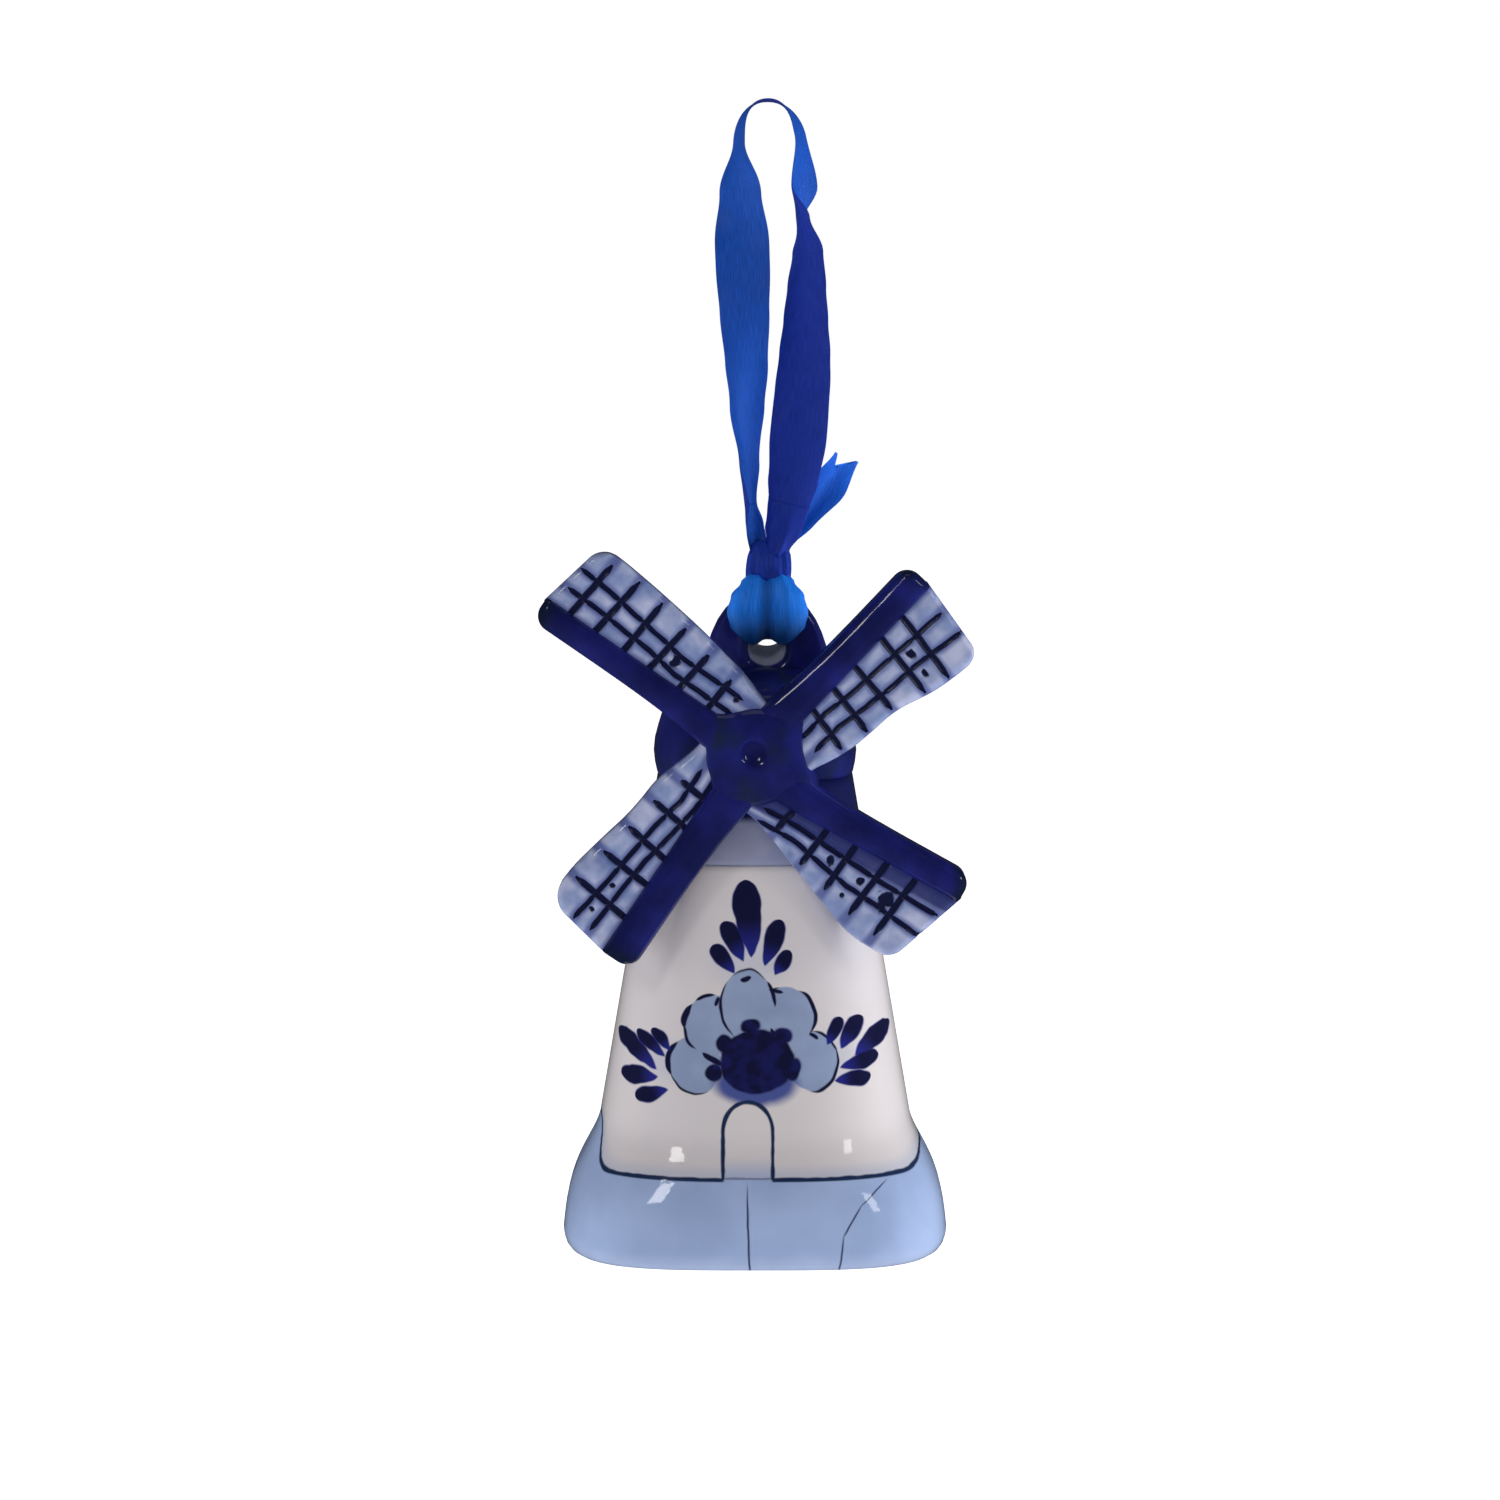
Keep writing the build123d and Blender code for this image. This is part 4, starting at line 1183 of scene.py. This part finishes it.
# ---- Ribbon: hitch ---------------------------------------------------------------------------------------
# From the knot the doubled ribbon spreads over the front of the lug in two puffed lobes, goes in at
# the top of the hole and comes back up behind.
hitch_keys = [(-0.5, 54.9), (-1.9, 55.6), (-2.9, 57.2), (-3.2, 59.4), (-3.0, 61.4), (-2.3, 62.4),
              (-1.0, 62.75), (1.0, 62.75), (2.3, 62.4), (3.0, 61.2), (3.1, 59.2), (2.9, 57.2),
              (1.8, 55.7), (0.5, 54.9)]
hitch_line = smooth_line("hitch_route", [(0.1 * mm, deep * mm, -drop * mm) for deep, drop in hitch_keys], 10)
hitch_halves = [(0, 2.3), (0.06, 3.2), (0.16, 4.4), (0.25, 4.85), (0.33, 4.5), (0.385, 3.6), (0.43, 1.45),
                (0.57, 1.4), (0.61, 2.6), (0.70, 3.9), (0.80, 3.9), (0.92, 2.6), (1, 1.6)]
hitch_puff = [(0, 0.2), (0.10, 0.8), (0.25, 1.3), (0.36, 1.0), (0.43, 0.1), (0.57, 0.1), (0.65, 0.6),
              (0.85, 0.6), (1, 0.2)]
hitch_sag = [(0, 0), (0.2, 0.2), (0.34, 1.0), (0.385, 1.3), (0.44, 0), (1, 0)]


def hitch_folds(share, across):
    lobe = max(0.0, 1 - (2 * abs(across) - 1.0) ** 2)
    edge = -0.9 * max(0.0, abs(across) - 0.55) ** 1.3 * smooth_between(hitch_puff, share)
    fine = 0.09 * math.sin(15 * across + 2.5 * share) * smooth_between([(0, 1), (0.43, 0.3), (1, 1)], share)
    return (smooth_between(hitch_puff, share) * (lobe - 0.35) + edge + fine) * mm


hitch = add_piece("hitch", ribbon_strip(
    hitch_line, lambda share: 0.0, lambda share: smooth_between(hitch_halves, share) * mm,
    lambda share: 0.0, forward=Vector((1, 0, 0)), folds=hitch_folds,
    trim=lambda share, across: (smooth_between(hitch_sag, share) * mm
                                * (1 - ((abs(across) - 0.55) / 0.55) ** 2))),
    "bell", "satin_ribbon", lit_hitch_finish)
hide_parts("ribbon_hitch")
[tuple(point) for point in loop_line]


# ---- Clapper --------------------------------------------------------------------------------------------
# A porcelain bar across the collar carries a bent wire ring. A wire with an eye hangs on the ring and
# ends in a glazed bead, held by a drop of solder below.
def wire_finish():
    finish, tree, shader = new_finish("clapper_wire")
    spot = tree.nodes.new("ShaderNodeTexCoord").outputs["Object"]
    grain = speckle(tree, spot, 2600.0, 2.0)
    shader.inputs["Metallic"].default_value = 1.0
    tone = blend_colours(tree, fade(tree, grain, 0.3, 0.7), (0.42, 0.42, 0.43), (0.60, 0.60, 0.61))
    connect(tree, shader.inputs["Base Color"], tone)
    connect(tree, shader.inputs["Roughness"], fade(tree, grain, 0.3, 0.7, 0.28, 0.42))
    return finish


def bead_paint():
    finish, tree, shader, spot = glaze("clapper_bead")
    cloud = fade(tree, speckle(tree, spot, 240.0, 3.0), 0.35, 0.7)
    connect(tree, shader.inputs["Base Color"], blend_colours(tree, cloud, milk, (0.70, 0.72, 0.80)))
    return finish


def tube(count, line, radius):
    """A round wire along a line of points in one upright plane."""
    stations = []
    for step, point in enumerate(line):
        ahead = (line[min(step + 1, len(line) - 1)] - line[max(step - 1, 0)]).normalized()
        side = Vector((1, 0, 0)) if abs(ahead.x) < 1e-6 else Vector((0, 1, 0))
        stations.append((point, side, ahead.cross(side)))

    def place(turn, station):
        point, side, other = station
        return point + (side * math.cos(turn) + other * math.sin(turn)) * radius

    return loft(count, stations, place, "filled")


metal = wire_finish()
glazed_white = bead_paint()
bar_low, bar_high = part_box("clapper_bar")
bar_z = (bar_low.z + bar_high.z) / 2
bar_radius = (bar_high.z - bar_low.z) / 2
bar_spots = [(bar_low.x, bar_radius), (mixed(bar_low.x, bar_high.x, 0.5), 0.96 * bar_radius),
             (bar_high.x, bar_radius)]
bar = add_piece("bar", loft(40, bar_spots, lambda turn, spot: Vector(
    (spot[0], spot[1] * math.cos(turn), bar_z + spot[1] * math.sin(turn))), "filled"), "bell",
    "white_porcelain", glazed_white)
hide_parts("clapper_bar")

ring_low, ring_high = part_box("clapper_ring")
ring_z = (ring_low.z + ring_high.z) / 2
ring_wire = (ring_high.x - ring_low.x) / 2
ring_reach = (ring_high.z - ring_low.z) / 2 - ring_wire
ring_turns = [math.tau * step / 72 for step in range(72)]


def ring_place(turn, around):
    reach = ring_reach + ring_wire * math.cos(turn)
    return Vector((axis_x + ring_wire * math.sin(turn), reach * math.cos(around),
                   ring_z + reach * math.sin(around)))


ring = add_piece("ring", loft(20, ring_turns, ring_place, "joined"), "clapper_link", "clapper_wire", metal)
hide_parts("clapper_ring")

wire_low, wire_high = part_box("clapper_wire")
wire_half = (wire_high.y - wire_low.y) / 2
eye_reach = (wire_high.x - wire_low.x) / 2 - wire_half
eye_z = wire_high.z - wire_half - eye_reach


def eye_place(turn, around):
    reach = eye_reach + wire_half * math.cos(turn)
    return Vector((axis_x + reach * math.cos(around), wire_half * math.sin(turn),
                   eye_z + reach * math.sin(around)))


add_piece("eye", loft(16, ring_turns, eye_place, "joined"), "clapper", "clapper_wire", metal)
stem_line = [Vector((axis_x, 0, mixed(wire_low.z, eye_z - eye_reach, step / 8))) for step in range(9)]
stem = add_piece("stem", tube(16, stem_line, wire_half), "clapper", "clapper_wire", metal)
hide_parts("clapper_wire")

bead_low, bead_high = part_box("clapper_bead")
bead_z = (bead_low.z + bead_high.z) / 2
bead_radius = max(bead_high.z - bead_low.z, bead_high.x - bead_low.x) / 2
bore = wire_half + 0.05 * mm
bore_turn = math.asin(bore / bead_radius)
bead_turns = [bore_turn + (math.pi - 2 * bore_turn) * step / 40 for step in range(41)]
bead_profile = [(bead_radius * math.sin(turn), bead_radius * math.cos(turn)) for turn in bead_turns]
bead_profile += [(bore, -0.6 * bead_radius), (bore, 0.6 * bead_radius)]
bead = add_piece("bead", loft(64, bead_profile, lambda turn, spot: Vector(
    (axis_x + spot[0] * math.cos(turn), spot[0] * math.sin(turn), bead_z + spot[1])), "joined"), "clapper",
    "clapper_bead", glazed_white)
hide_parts("clapper_bead")

stop_low, stop_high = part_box("clapper_stop")
stop_radius = (stop_high.x - stop_low.x) / 2
stop_turns = [0.03 + (math.pi - 0.06) * step / 20 for step in range(21)]
stop = add_piece("stop", loft(32, stop_turns, lambda turn, tilt: Vector(
    (axis_x + stop_radius * math.sin(tilt) * math.cos(turn), stop_radius * math.sin(tilt) * math.sin(turn),
     stop_low.z + stop_radius + stop_radius * math.cos(tilt))), "filled"), "clapper", "clapper_wire", metal)
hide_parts("clapper_stop")
